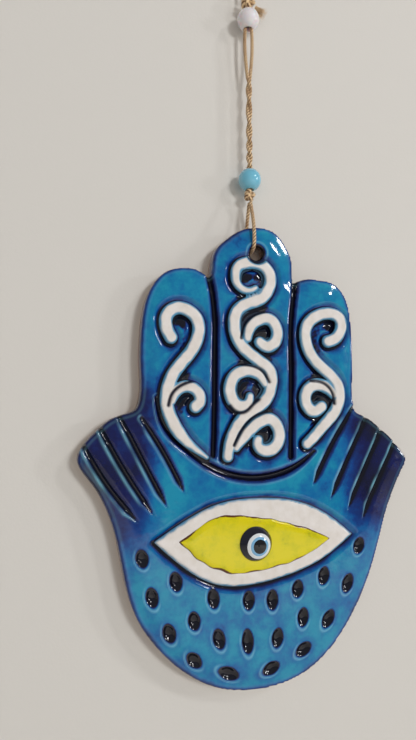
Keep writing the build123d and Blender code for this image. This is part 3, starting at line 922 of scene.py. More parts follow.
@dataclass
class HandPlaque:
    """The clay hand: its relief and its glaze.

    Attributes:
        edge_radius: rounding of the front edge.
        shoulder: how far the front sinks towards the edge.
        shoulder_width: width over which it sinks.
        step: grid of the relief.
        groove: half width and depth of the finger grooves.
        palm: half width and depth of the palm groove.
        flute: half width and depth of the flutes.
        seed: length, width and depth of the seed dimples.
        channel_depth: depth of the channel round the white clay.
        hollow_reach: how near white clay has to be on a side to close a place in.
        hollow_ways: number of sides on which it is looked for.
        strokes: grooves and flutes, worked out from their lines.
    """

    edge_radius: float = 2.4
    shoulder: float = 1.1
    shoulder_width: float = 8.0
    step: float = 0.5
    groove: tuple[float, float] = (1.6, 2.2)
    palm: tuple[float, float] = (1.9, 2.0)
    flute: tuple[float, float] = (1.45, 1.5)
    seed: Triple = (8.6, 5.4, 1.6)
    channel_depth: float = 1.25
    hollow_reach: float = 5.0
    hollow_ways: int = 16
    strokes: list[Stroke] = field(default_factory=list)

    def __post_init__(self) -> None:
        """Works out the lines that the relief follows."""
        self.outline = smooth_loop(spots(OUTLINE_SHARES))
        self.fields = [scroll_field(name) for name in SCROLL_SHARES] + [leaf_field(ALMOND_SHARES)]
        self.strokes = [Stroke(smooth_line(spots(line)), *self.groove) for line in GROOVE_SHARES]
        palm_line = smooth_line(spots(PALM_GROOVE_SHARES))
        # The palm groove's pale lip is mostly painted highlight.
        self.strokes.append(Stroke(palm_line, *self.palm, widths=(0.6, 1.0, 0.5), crest_pale_and_highlight=0.26))
        for line in FLUTE_SHARES:
            # Each flute gets a broad pale lip on its left side only: painted highlight.
            flute = Stroke(smooth_line(spots(line)), *self.flute, widths=(0.75, 1.0, 0.10),
                           darkness=0.95, crest_at=1.30, crest_width=0.34, crest_pale_and_highlight=0.62,
                           crest_lit_on_left_only=True)
            self.strokes.append(flute)

    def hole_distance(self, points: Array) -> Array:
        """Distance outwards from the wall of the hanging hole."""
        return np.linalg.norm(points - HOLE_PLACE, axis=1) - HOLE_RADIUS

    def outside(self, points: Array) -> Array:
        """Signed distance to the hand's outline and its hole."""
        return np.maximum(signed_distance(points, self.outline), -self.hole_distance(points))

    def stroke_relief(self, points: Array) -> tuple[Array, Array, Array]:
        """The deepest cut, pooling and lip of all grooves and flutes; the lip share holds pale glaze and
        painted highlight.

        Args:
            points: places on the hand.

        Returns:
            Depth of the cut, pooling share and lip share at the points.
        """
        cut, pool, ridge_and_highlight = (np.zeros(len(points)) for _ in range(3))
        for stroke in self.strokes:
            parts = stroke.relief(points)
            cut = np.maximum(cut, parts[0])
            pool = np.maximum(pool, parts[1])
            ridge_and_highlight = np.maximum(ridge_and_highlight, parts[2])
        return cut, pool, ridge_and_highlight

    def seed_relief(self, points: Array) -> tuple[Array, Array, Array]:
        """Cut, pooling and lip of the seeds, each a spindle with pointed ends and a pale lip low on its left,
        partly glaze breaking pale and partly painted highlight on the rim that faces the light.

        Args:
            points: places on the hand.

        Returns:
            Depth of the cut, pooling share and lip share at the points.
        """
        cut, pool, ridge_and_highlight = (np.zeros(len(points)) for _ in range(3))
        length, width, depth = self.seed
        for x_share, y_share, lean, stretch in SEED_SHARES:
            offset = points - spots([(x_share, y_share)])
            turn = math.radians(lean)
            along = np.abs(offset @ (-math.sin(turn), math.cos(turn))) / (length * stretch / 2)
            across = np.abs(offset @ (math.cos(turn), math.sin(turn))) / (width / 2)
            size = (along**1.7 + across**2) ** 0.6
            cut = np.maximum(cut, depth * (1 - smoothstep(0.2, 1.05, size)))
            core = 1.05 * (1 - smoothstep(0.72, 1.12, size))
            halo = 0.16 * (1 - smoothstep(1.2, 2.2, size))
            pool = np.max([pool, core, halo], axis=0)
            # Painted highlight: the rim low on the left faces the light and is drawn pale, partly as glaze
            # breaking pale.
            lit_low_left = smoothstep(-3.0, 3.0, -offset[:, 0] - offset[:, 1])
            ridge_and_highlight = np.maximum(ridge_and_highlight, np.exp(-(((size - 1.20) / 0.12) ** 2)) * 0.42 * lit_low_left)
        return cut, pool, ridge_and_highlight

    def bed_relief(self, points: Array) -> tuple[Array, Array]:
        """Cut and pooling of the channels round the white clay, eased over the distance from its edge.

        The channels are drawn wider and darker below and to the left of the white clay: painted shade, as
        cast by light from the upper right.

        Args:
            points: places on the hand.

        Returns:
            Depth of the cut and pooling share, with its painted shade, at the points.
        """
        least = np.min([field_of(points) for field_of in self.fields], axis=0)
        # Painted shade: wider, darker channels on the side away from the light.
        down_left = np.array([-0.3, -0.4])
        beyond = np.min([field_of(points + down_left) for field_of in self.fields], axis=0)
        lean = np.clip((beyond - least) / np.linalg.norm(down_left), -1.0, 1.0)
        width = 1.0 + 0.42 * lean + 0.24 * waves(points, 17.0, 12)
        hollow = self.enclosed(points, least)
        cut = self.channel_depth * (1 - smoothstep(0.6, 2.6, least)) + 0.35 * hollow
        halo = 0.40 * (1 - smoothstep(0.8, 4.2, least / width))
        core = (0.90 + 0.16 * lean) * (1 - smoothstep(0.35, 2.1, least / width))
        return cut, np.max([halo, core, 1.05 * hollow], axis=0)

    def enclosed(self, points: Array, least: Array) -> Array:
        """How far white clay closes a place in: the share of the ways round it that meet a scroll.

        Args:
            points: places on the hand.
            least: signed distance from each to the nearest white clay.

        Returns:
            0 in the open to 1 inside a curl.
        """
        share = np.zeros(len(points))
        near = least < self.hollow_reach
        met = np.zeros(near.sum())
        for turn in np.linspace(0, 2 * math.pi, self.hollow_ways, endpoint=False):
            beyond = points[near] + self.hollow_reach * np.array([math.cos(turn), math.sin(turn)])
            scrolls = np.min([field_of(beyond) for field_of in self.fields[:-1]], axis=0)
            met += 1 - smoothstep(-0.4, 0.9, scrolls)
        share[near] = smoothstep(0.50, 0.74, met / self.hollow_ways)
        return share

    def depth(self, points: Array) -> Array:
        """Y of the front: round edges, the deepest of the cuts and a slow unevenness.

        Args:
            points: places on the hand.

        Returns:
            Y in millimetres at the points.
        """
        from_edge = -signed_distance(points, self.outline)
        drop = round_edge(from_edge, self.edge_radius)
        drop = np.maximum(drop, self.shoulder * (1 - smoothstep(0.0, self.shoulder_width, from_edge)))
        drop = np.maximum(drop, round_edge(self.hole_distance(points), HOLE_RIM_RADIUS))
        reliefs = (self.stroke_relief, self.seed_relief, self.bed_relief)
        cut = np.max([relief(points)[0] for relief in reliefs], axis=0)
        return FRONT_Y + drop + cut + 0.14 * waves(points, 26.0, 5)

    def build(self) -> bpy.types.Object:
        """Builds the hand and stores its shares of pooling with painted shade, of pale ridges with painted
        highlights, and of bare clay.
        """
        sheet = ReliefSheet("glazed_hand", self.outside, self.depth, BACK_Y, self.step)
        piece, points, level = sheet.build((-HALF_WIDTH - 1, -1), (HALF_WIDTH + 1, HAND_HEIGHT + 1))
        strokes, seeds, beds = self.stroke_relief(points), self.seed_relief(points), self.bed_relief(points)
        from_hole = self.hole_distance(points)
        from_edge = -signed_distance(points, self.outline)
        # Painted shade: the glaze is drawn dark round and inside the hanging hole.
        hole_shade = 0.98 * (1 - smoothstep(0.2, 1.7, from_hole))
        # Painted shade: the glaze is drawn darker along the rounded edge and the side walls.
        edge_shade = 0.56 * (1 - smoothstep(0.2, 2.8, from_edge))
        pool = np.max([strokes[1], seeds[1], beds[1], self.broad_pool(points), hole_shade, edge_shade], axis=0)
        ridge_and_highlight = np.maximum(strokes[2], seeds[2]) * (1 - smoothstep(0.5, 0.9, beds[1]))
        # Painted highlight: a pale ring just outside the rounded rim of the hole.
        hole_highlight = 0.40 * np.exp(-(((from_hole - 1.9) / 0.35) ** 2)) * (1 - beds[1])
        edge_ridge = 0.10 * np.exp(-(((from_edge - 1.6) / 0.5) ** 2))
        ridge_and_highlight = np.max([ridge_and_highlight, hole_highlight, edge_ridge], axis=0)
        wall = level > 0.3
        bare = np.where(level > 0.9, 1.0, np.where(wall, 0.15, 0.0))
        bare = np.where((from_hole < 0.3) & wall, 0.4, bare)
        # The pooling share holds pooled glaze and painted shade, the ridge share pale glaze and painted
        # highlight.
        paint(piece, "pool", np.clip(pool, 0, 1.1))
        paint(piece, "ridge_and_highlight", np.clip(ridge_and_highlight, 0, 1))
        paint(piece, "bare", bare)
        return dress(piece, Body.PLAQUE, Slot.HAND_GLAZE, HandGlaze().material(), ["hand_plaque"])

    @staticmethod
    def broad_pool(points: Array) -> Array:
        """Slow changes of the glaze: dark thumbs, a light lower palm and clouds.

        Args:
            points: places on the hand.

        Returns:
            Pooling share at the points.
        """
        height = points[:, 1] / HAND_HEIGHT
        thumb = smoothstep(34.0, 50.0, np.abs(points[:, 0])) * smoothstep(0.27, 0.36, height)
        thumb *= 1 - smoothstep(0.60, 0.66, height)
        return 0.58 * thumb + 0.10 * smoothstep(0.02, 0.30, height) + 0.08 * waves(points, 40.0, 9)


@dataclass
class Scroll:
    """One scroll of white clay.

    Attributes:
        name: name of its CAD node.
        finish: its material.
        proud: how far it stands above the hand.
        bevel: width of its bevelled edge.
        line_half_width: half width of the lines that part its curls.
        step: grid of the relief.
    """

    name: str
    finish: bpy.types.Material
    proud: float = 0.4
    bevel: float = 0.95
    line_half_width: float = 0.72
    step: float = 0.4

    def __post_init__(self) -> None:
        """Works out the band field and the parting lines."""
        self.bands = scroll_field(self.name)
        self.lines = [smooth_line(spots(line)) for line in CURL_LINE_SHARES[self.name]]

    def outside(self, points: Array) -> Array:
        """Signed distance to the bands, kept off the hanging hole."""
        hole = SCROLL_LAND_RADIUS - np.linalg.norm(points - HOLE_PLACE, axis=1)
        return np.maximum(self.bands(points), hole)

    def line_share(self, points: Array) -> Array:
        """1 in the middle of a parting line, eased to 0 at its edge."""
        near = np.min([line_distance(points, line, FAR)[0] for line in self.lines], axis=0)
        return 1 - smoothstep(0.4 * self.line_half_width, 1.5 * self.line_half_width, near)

    def depth(self, points: Array) -> Array:
        """Y of the front: flat in the middle, bevelled at the edge and cut by the parting lines."""
        slope = 1 - smoothstep(0.0, self.bevel, -self.outside(points))
        fall = 0.75 * slope + 0.7 * self.line_share(points)
        return FRONT_Y - self.proud + fall + 0.05 * waves(points, 9.0, 3)

    def build(self) -> bpy.types.Object:
        """Builds the scroll and stores its edge and line shares."""
        places = np.vstack([spots(shares) for shares, _ in SCROLL_SHARES[self.name]])
        sheet = ReliefSheet(f"white_{self.name}", self.outside, self.depth, BED_Y, self.step)
        piece, points, level = sheet.build(tuple(places.min(0) - 4), tuple(places.max(0) + 4))
        edge = 0.95 * (1 - smoothstep(0.45, 1.05, -self.outside(points) + 0.22 * waves(points, 6.0, 6)))
        paint(piece, "edge", edge)
        paint(piece, "line", np.maximum(self.line_share(points), np.where(level > 0.3, 0.8, 0.0)))
        return dress(piece, Body.PLAQUE, Slot.WHITE_CLAY, self.finish, [self.name])


@dataclass
class Eye:
    """The almond of white clay, its iris and the glass eye.

    Attributes:
        white: material of the almond.
        almond_proud: how far the almond stands above the hand.
        iris_height: thickness of the iris glaze.
        iris_round: width over which the iris rises to its full height.
        step: grid of the relief.
    """

    white: bpy.types.Material
    almond_proud: float = 0.4
    iris_height: float = 0.7
    iris_round: float = 2.4
    step: float = 0.5

    def almond(self) -> bpy.types.Object:
        """Builds the almond: a flat leaf with a bevelled, slightly rough edge."""
        outside = leaf_field(ALMOND_SHARES)

        def depth(points: Array) -> Array:
            """Y of the front of the almond."""
            slope = 1 - smoothstep(0.0, 1.1, -outside(points))
            return FRONT_Y - self.almond_proud + 0.8 * slope + 0.06 * waves(points, 7.0, 4)

        places = np.vstack([spots(run) for run in ALMOND_SHARES])
        sheet = ReliefSheet("white_almond", outside, depth, BED_Y, self.step)
        piece, points, level = sheet.build(tuple(places.min(0) - 2), tuple(places.max(0) + 2))
        inside = -outside(points) + 0.25 * waves(points, 6.0, 6)
        paint(piece, "edge", 0.9 * (1 - smoothstep(0.35, 0.9, inside)))
        paint(piece, "line", np.where(level > 0.3, 0.8, 0.0))
        return dress(piece, Body.PLAQUE, Slot.WHITE_CLAY, self.white, ["eye_slab"])

    def iris(self) -> bpy.types.Object:
        """Builds the iris: a pool whose height rises as a quarter circle from its edge."""
        leaf = leaf_field(IRIS_SHARES)
        base = FRONT_Y - self.almond_proud

        def outside(points: Array) -> Array:
            """Signed distance to the wavy edge of the iris."""
            return leaf(points) + 0.28 + 0.26 * waves(points, 8.0, 14)

        def depth(points: Array) -> Array:
            """Y of the front of the iris."""
            share = np.clip(-outside(points) / self.iris_round, 0.0, 1.0)
            return base - 0.05 - self.iris_height * np.sqrt(1 - (1 - share) ** 2) * 0.93

        places = np.vstack([spots(run) for run in IRIS_SHARES])
        sheet = ReliefSheet("glazed_iris", outside, depth, base + 0.05, 0.45)
        piece, points, _ = sheet.build(tuple(places.min(0) - 2), tuple(places.max(0) + 2))
        paint(piece, "edge", 1 - smoothstep(0.1, 1.1, -outside(points) + 0.45 * waves(points, 15.0, 7)))
        return dress(piece, Body.PLAQUE, Slot.IRIS, IrisGlaze().material(), ["iris_glaze"])

    @staticmethod
    def glass(nodes: dict[str, bpy.types.Object]) -> None:
        """Dresses the layers of the glass eye and its glue, which keep their CAD solids."""
        dark = PlainFinish("eye_dark_glass", linear(16, 16, 34), coat=1.0)
        white = PlainFinish("eye_white_glass", linear(222, 226, 228), coat=1.0)
        pale = PlainFinish("eye_pale_glass", linear(120, 172, 208), coat=1.0)
        pupil = PlainFinish("eye_pupil_glass", linear(8, 8, 12), coat=1.0)
        glue = PlainFinish("glue", linear(196, 190, 176), 0.2)
        for name, slot, finish in (
            ("glass_eye_body", Slot.DARK_GLASS, dark),
            ("glass_eye_white_ring", Slot.WHITE_GLASS, white),
            ("glass_eye_pale_ring", Slot.PALE_GLASS, pale),
            ("glass_eye_pupil", Slot.DARK_GLASS, pupil),
            ("glue_pad", Slot.GLUE, glue),
        ):
            node = nodes[name]
            node.data.materials.clear()
            node.data.materials.append(finish.material())


def dress(piece: bpy.types.Object, body: Body, slot: Slot, finish: bpy.types.Material,
          nodes: list[str]) -> bpy.types.Object:
    """Gives a piece its finish and its body, and hides the CAD nodes that it stands for.

    Args:
        piece: the finished object.
        body: body that it moves with.
        slot: material slot of the record; not used.
        finish: its material.
        nodes: CAD nodes that it replaces.

    Returns:
        The same object.
    """
    piece.data.materials.append(finish)
    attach(piece, body.value)
    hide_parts(*nodes)
    LOG.info("%s: %d faces", piece.name, len(piece.data.polygons))
    return piece


def nurbs_path(name: str, points: Array) -> Array:
    """Places along a smooth NURBS curve of order 3, which starts and ends at its end points.

    Args:
        name: name of the curve while it is worked out.
        points: control points in millimetres.

    Returns:
        Places in millimetres.
    """
    data = bpy.data.curves.new(name, "CURVE")
    data.dimensions = "3D"
    data.resolution_u = 10
    spline = data.splines.new("NURBS")
    spline.points.add(len(points) - 1)
    spline.points.foreach_set("co", np.column_stack([points * MM, np.ones(len(points))]).ravel())
    spline.order_u = 3
    spline.use_endpoint_u = True
    holder = bpy.data.objects.new(name, data)
    mesh = bpy.data.meshes.new_from_object(holder)
    places = np.zeros(len(mesh.vertices) * 3)
    mesh.vertices.foreach_get("co", places)
    bpy.data.meshes.remove(mesh)
    bpy.data.objects.remove(holder)
    bpy.data.curves.remove(data)
    return places.reshape(-1, 3) / MM


def resampled(path: Array, step: float) -> Array:
    """The same path with its places at even distances.

    Args:
        path: places along the path.
        step: distance between the new places.

    Returns:
        New places, with both ends kept.
    """
    run = run_along(path)
    keep = np.concatenate([[True], np.diff(run) > 1e-6])
    where = np.linspace(0.0, run[-1], int(run[-1] / step) + 2)
    return np.column_stack([np.interp(where, run[keep], path[keep, axis]) for axis in range(3)])


@dataclass
class PliedTwine:
    """Twisted twine along a path.

    Attributes:
        radius: radius of the twine.
        plies: number of plies that show round it.
        pitch: length of one full twist.
        sides: faces round the tube.
        valley: radius between two plies, as a share.
        crown: how much further out the middle of a ply lies, as a share.
        tip: radius of the closed ends, as a share.
        hair_radius: radius of a loose fibre at its root.
        hair_rings: rings along a loose fibre.
    """

    radius: float = 0.79
    plies: int = 3
    pitch: float = 4.4
    sides: int = 24
    valley: float = 0.72
    crown: float = 0.30
    tip: float = 0.35
    hair_radius: float = 0.05
    hair_rings: int = 5

    def surface(self, path: Array, reference: Array) -> tuple[Array, Array, Array]:
        """Tube whose radius swells and sinks with the angle less the twist: plies lie side by side.

        Args:
            path: places along the twine, in millimetres, close together.
            reference: a direction never along the path, which sets where the angle starts.

        Returns:
            Vertices in millimetres, quads, and the share of painted shade, which is 1 in the crease between
            two plies.
        """
        run = run_along(path)
        along = np.gradient(path, axis=0)
        along /= np.linalg.norm(along, axis=1)[:, None]
        first = np.cross(along, reference)
        first /= np.linalg.norm(first, axis=1)[:, None]
        second = np.cross(along, first)
        angle = np.linspace(0, 2 * math.pi, self.sides, endpoint=False)[None, :]
        phase = (angle - 2 * math.pi * run[:, None] / self.pitch) * self.plies / 2
        swell = np.abs(np.cos(phase))
        fade = np.clip(np.minimum(run, run[-1] - run) / self.radius, 0.0, 1.0)[:, None]
        reach = self.radius * (self.valley + self.crown * swell**0.6)
        reach = reach * (self.tip + (1 - self.tip) * np.sqrt(fade))
        ring = first[:, None, :] * np.cos(angle)[..., None] + second[:, None, :] * np.sin(angle)[..., None]
        places = (path[:, None, :] + ring * reach[..., None]).reshape(-1, 3)
        # Painted shade: the crease between two plies is marked dark.
        ply_shade_and_tone = (1 - swell).ravel()
        faces = grid_faces(len(path), self.sides)
        caps = [path[0], path[-1]]
        places = np.vstack([places, caps])
        start, end = len(places) - 2, len(places) - 1
        side = np.arange(self.sides)
        beside = (side + 1) % self.sides
        last = (len(path) - 1) * self.sides
        cap_faces = np.vstack([
            np.column_stack([np.full(self.sides, start), beside, side, side]),
            np.column_stack([np.full(self.sides, end), last + side, last + beside, last + beside]),
        ])
        return places, np.vstack([faces, cap_faces]), np.concatenate([ply_shade_and_tone, [0.5, 0.5]])

    def fuzz(self, path: Array, count: int, seed: int) -> tuple[Array, Array]:
        """Loose fibres: thin three-sided tubes that leave the twine outwards and bend with the square.

        Args:
            path: places along the twine, in millimetres.
            count: number of fibres.
            seed: seed of their places.

        Returns:
            Vertices in millimetres and quads.
        """
        random = np.random.default_rng(seed)
        rings, sides = self.hair_rings, 3
        root = path[random.integers(2, len(path) - 2, count)]
        out = random.normal(size=(count, 3))
        out /= np.linalg.norm(out, axis=1)[:, None]
        curl = random.normal(size=(count, 3))
        share = np.linspace(0, 1, rings)[None, :, None]
        reach = random.uniform(0.3, 1.1, count)[:, None, None]
        line = (root[:, None, :] + out[:, None, :] * (0.8 * self.radius + reach * share * 0.8)
                + curl[:, None, :] * 0.35 * reach * share**2)
        side = np.cross(out, curl)
        side /= np.linalg.norm(side, axis=1)[:, None]
        other = np.cross(out, side)
        angle = np.arange(sides) * 2 * math.pi / sides
        thick = (self.hair_radius * (1 - 0.7 * share))[..., None]
        ring = (side[:, None, None, :] * np.cos(angle)[None, None, :, None]
                + other[:, None, None, :] * np.sin(angle)[None, None, :, None])
        places = (line[:, :, None, :] + ring * thick).reshape(-1, 3)
        return places, repeated_faces(grid_faces(rings, sides), count, rings * sides)


def jute_piece(name: str, parts: list[tuple[Array, Array, Array]]) -> bpy.types.Object:
    """One mesh from several surfaces.

    Args:
        name: name of the piece.
        parts: each surface's vertices in millimetres, its faces and its shares of painted ply shade or random
            tone.

    Returns:
        The object, linked to the scene. A quad that names a vertex twice becomes a triangle.
    """
    starts = np.cumsum([0] + [len(places) for places, _, _ in parts[:-1]])
    places = np.vstack([part[0] for part in parts])
    faces = np.vstack([part[1] + start for part, start in zip(parts, starts)])
    mesh = bpy.data.meshes.new(name)
    rows = [tuple(dict.fromkeys(row)) for row in faces.tolist()]
    mesh.from_pydata((places * MM).tolist(), [], rows)
    mesh.polygons.foreach_set("use_smooth", [True] * len(mesh.polygons))
    piece = bpy.data.objects.new(name, mesh)
    bpy.context.scene.collection.objects.link(piece)
    paint(piece, "ply_shade_and_tone", np.concatenate([part[2] for part in parts]))
    return piece


@dataclass
class Hanging:
    """The doubled twine with its loops, knots and frayed end.

    Attributes:
        finish: material of the jute.
        twine: the twine itself.
        top_knot_radius: radius of the top knot.
        lower_knot_radius: radius of the lower knot.
        half_strands: half of the distance between the two strands.
        twist_start: Z where the two strands begin to wind round each other.
        strand_turns: turns that they make below it.
        spread_out: how much wider apart they stand halfway above it, as a share.
        sway: how unevenly they turn, in turns.
        step: distance between the rings of a tube.
        loop_hairs: loose fibres on each loop.
        strand_hairs: loose fibres on each strand.
        knot_hairs: loose fibres on each turn of a knot.
    """

    finish: bpy.types.Material
    twine: PliedTwine = field(default_factory=PliedTwine)
    top_knot_radius: float = 3.4
    lower_knot_radius: float = 2.6
    half_strands: float = 0.68
    twist_start: float = -58.0
    strand_turns: float = 3.5
    spread_out: float = 1.6
    sway: float = 0.12
    step: float = 0.22
    loop_hairs: int = 170
    strand_hairs: int = 420
    knot_hairs: int = 60

    def tube(self, name: str, path: Array, reference: Triple, hairs: int, seed: int) -> bpy.types.Object:
        """One stretch of twine with its loose fibres.

        Args:
            name: name of the piece.
            path: places along it, in millimetres.
            reference: a direction never along the path.
            hairs: number of loose fibres.
            seed: seed of their places.

        Returns:
            The object.
        """
        path = resampled(path, self.step)
        body = self.twine.surface(path, np.array(reference, float))
        places, faces = self.twine.fuzz(path, hairs, seed)
        return jute_piece(name, [body, (places, faces, np.zeros(len(places)))])

    @staticmethod
    def declare(piece: bpy.types.Object, path: Array, lay: str) -> None:
        """Works out the length of a stretch of twine along its path, and does nothing with it."""
        length = run_along(path)[-1]

    def loops(self) -> None:
        """Builds the loop over the nail and the loop through the hand."""
        over = np.array([(x, 0.0, z) for x, z in NAIL_LOOP_POINTS])
        through = np.array([(0.0, y, z) for y, z in LOWER_LOOP_POINTS])
        for name, node, points, body, reference in (
            ("jute_nail_loop", "nail_loop", over, Body.HANGER, (0, 1, 0)),
            ("jute_lower_loop", "lower_loop", through, Body.LOWER_LOOP, (1, 0, 0)),
        ):
            path = nurbs_path(name, points)
            piece = self.tube(name, path, reference, self.loop_hairs, 11)
            dress(piece, body, Slot.JUTE, self.finish, [node])
            self.declare(piece, path, "hanging")

    def strands(self) -> None:
        """Builds the two strands: apart at the top, then a helix round each other down to the lower knot."""
        top = TOP_KNOT_Z - self.top_knot_radius - 0.3
        bottom = LOWER_KNOT_Z + self.lower_knot_radius + 0.3
        height = np.linspace(top, bottom, 160)
        below = np.clip((self.twist_start - height) / (self.twist_start - bottom), 0.0, 1.0)
        turn = 2 * math.pi * (self.strand_turns * below**1.15 + self.sway * np.sin(below * 9.0))
        above = np.clip((top - height) / (top - self.twist_start), 0, 1)
        apart = self.half_strands * (1 + self.spread_out * np.sin(math.pi * above))
        for name, side in (("strand_left", -1), ("strand_right", 1)):
            path = np.column_stack([
                side * apart * np.cos(turn),
                side * self.half_strands * np.sin(turn),
                height,
            ])
            piece = self.tube(f"jute_{name}", path, (0, 1, 0), self.strand_hairs, 21 + side)
            dress(piece, Body.CORD, Slot.JUTE, self.finish, [name])
            self.declare(piece, path, "taut")

    def knot(self, name: str, node: str, radius: float, height: float, body: Body, seed: int) -> None:
        """Builds a knot: two trefoil turns of twine, sin t + 2 sin 2t by cos t - 2 cos 2t.

        Args:
            name: name of the piece.
            node: its CAD node.
            radius: radius of the whole knot.
            height: Z of its middle.
            body: body that it moves with.
            seed: seed of its loose fibres.
        """
        bent = np.linspace(0, 2 * math.pi, 150)
        strand = PliedTwine(radius=radius * 0.34, pitch=radius * 1.9, sides=18)
        reach = (radius - strand.radius) / 3
        parts = []
        tilts_and_rises = ((0.35, 0.55), (-0.5, -0.5))
        for tilt, rise in tilts_and_rises:
            path = np.column_stack([
                (np.sin(bent) + 2 * np.sin(2 * bent)) * reach,
                -np.sin(3 * bent) * reach * 1.5,
                (np.cos(bent) - 2 * np.cos(2 * bent)) * reach * 0.8,
            ])
            cosine, sine = math.cos(tilt), math.sin(tilt)
            lean = np.array([[cosine, 0, sine], [0, 1, 0], [-sine, 0, cosine]])
            path = path @ lean.T + (0, 0, height + rise)
            parts.append(strand.surface(path, np.array([0.21, 0.93, 0.31])))
            places, faces = strand.fuzz(path, self.knot_hairs, seed)
            parts.append((places, faces, np.zeros(len(places))))
        piece = jute_piece(name, parts)
        dress(piece, body, Slot.JUTE, self.finish, [node])

    def frayed_end(self) -> None:
        """Builds the frayed end: thin fibres that fan out from the knot down to the right."""
        random = np.random.default_rng(8)
        count, rings, sides = 90, 9, 4
        droop = math.radians(118.0)
        off_the_knot = 0.15
        root_spread, tip_spread, bend_reach = 0.42, 0.72, 0.25
        axis = np.array([math.sin(droop), 0.0, math.cos(droop)])
        root = np.array([0.0, 0.0, TOP_KNOT_Z]) + axis * (self.top_knot_radius + off_the_knot)
        spread = random.normal(size=(count, 3))
        spread -= (spread @ axis)[:, None] * axis
        share = np.linspace(0, 1, rings)[None, :, None]
        reach = random.uniform(3.6, 6.6, count)[:, None, None]
        fan = spread[:, None, :] * (root_spread + tip_spread * share**1.6)
        bend = random.normal(size=(count, 1, 3)) * bend_reach * np.sin(share * 2.6)
        line = root + fan + axis * reach * share + bend
        first = np.cross(axis, (0.0, 1.0, 0.0))
        second = np.cross(axis, first)
        angle = np.arange(sides) * 2 * math.pi / sides
        ring = first * np.cos(angle)[:, None] + second * np.sin(angle)[:, None]
        thick = (random.uniform(0.10, 0.18, count)[:, None, None] * (1 - 0.75 * share))[..., None]
        places = (line[:, :, None, :] + ring[None, None] * thick).reshape(-1, 3)
        faces = repeated_faces(grid_faces(rings, sides), count, rings * sides)
        # A random darker tone for each fibre.
        ply_shade_and_tone = np.repeat(random.uniform(0, 0.2, count), rings * sides)
        piece = jute_piece("frayed_jute_end", [(places, faces, ply_shade_and_tone)])
        dress(piece, Body.CORD, Slot.JUTE, self.finish, ["frayed_tail"])

    def build(self) -> None:
        """Builds the cords first, then the knots and the frayed end."""
        self.loops()
        self.strands()
        self.knot("jute_top_knot", "top_knot", self.top_knot_radius, TOP_KNOT_Z, Body.HANGER, 31)
        self.knot("jute_lower_knot", "lower_knot", self.lower_knot_radius, LOWER_KNOT_Z, Body.LOWER_KNOT, 32)
        self.frayed_end()


@dataclass
class Bead:
    """A round glass bead with its bore along Z.

    Attributes:
        name: name of the finished piece.
        node: its CAD node.
        height: Z of its middle.
        body: body that it moves with.
        slot: its material slot.
        finish: its glass.
        mouth: radius of the rounding at the ends of the bore.
        sides: faces round it.
    """

    name: str
    node: str
    height: float
    body: Body
    slot: Slot
    finish: PlainFinish
    mouth: float = 0.45
    sides: int = 72

    def build(self) -> bpy.types.Object:
        """Builds the bead: a closed profile of ball, rounded mouths and bore, turned about Z."""
        start = math.asin((BEAD_BORE_RADIUS + self.mouth) / BEAD_RADIUS)
        angle = np.linspace(start, math.pi - start, 40)
        ball = np.column_stack([BEAD_RADIUS * np.sin(angle), BEAD_RADIUS * np.cos(angle)])
        top = ball[0, 1]
        turn = np.linspace(0.3, math.pi / 2, 5)
        lip = np.column_stack([
            BEAD_BORE_RADIUS + self.mouth * (1 - np.sin(turn)),
            -top + self.mouth * (1 - np.cos(turn)),
        ])
        bore = np.column_stack([np.full(8, BEAD_BORE_RADIUS), np.linspace(-top + 0.9, top - 0.9, 8)])
        profile = np.vstack([ball, lip, bore, lip[::-1] * (1, -1)])
        way = np.linspace(0, 2 * math.pi, self.sides, endpoint=False)
        wobble = 1 + 0.006 * np.sin(2 * way + 1.0)
        places = np.stack([
            profile[:, 0][:, None] * (np.cos(way) * wobble)[None, :],
            profile[:, 0][:, None] * (np.sin(way) * wobble)[None, :],
            np.broadcast_to(profile[:, 1][:, None] + self.height, (len(profile), self.sides)),
        ], -1).reshape(-1, 3)
        faces = grid_faces(len(profile), self.sides, closed=True)[:, ::-1]
        piece = new_object(self.name, places * MM, faces)
        return dress(piece, self.body, self.slot, self.finish.material(), [self.node])


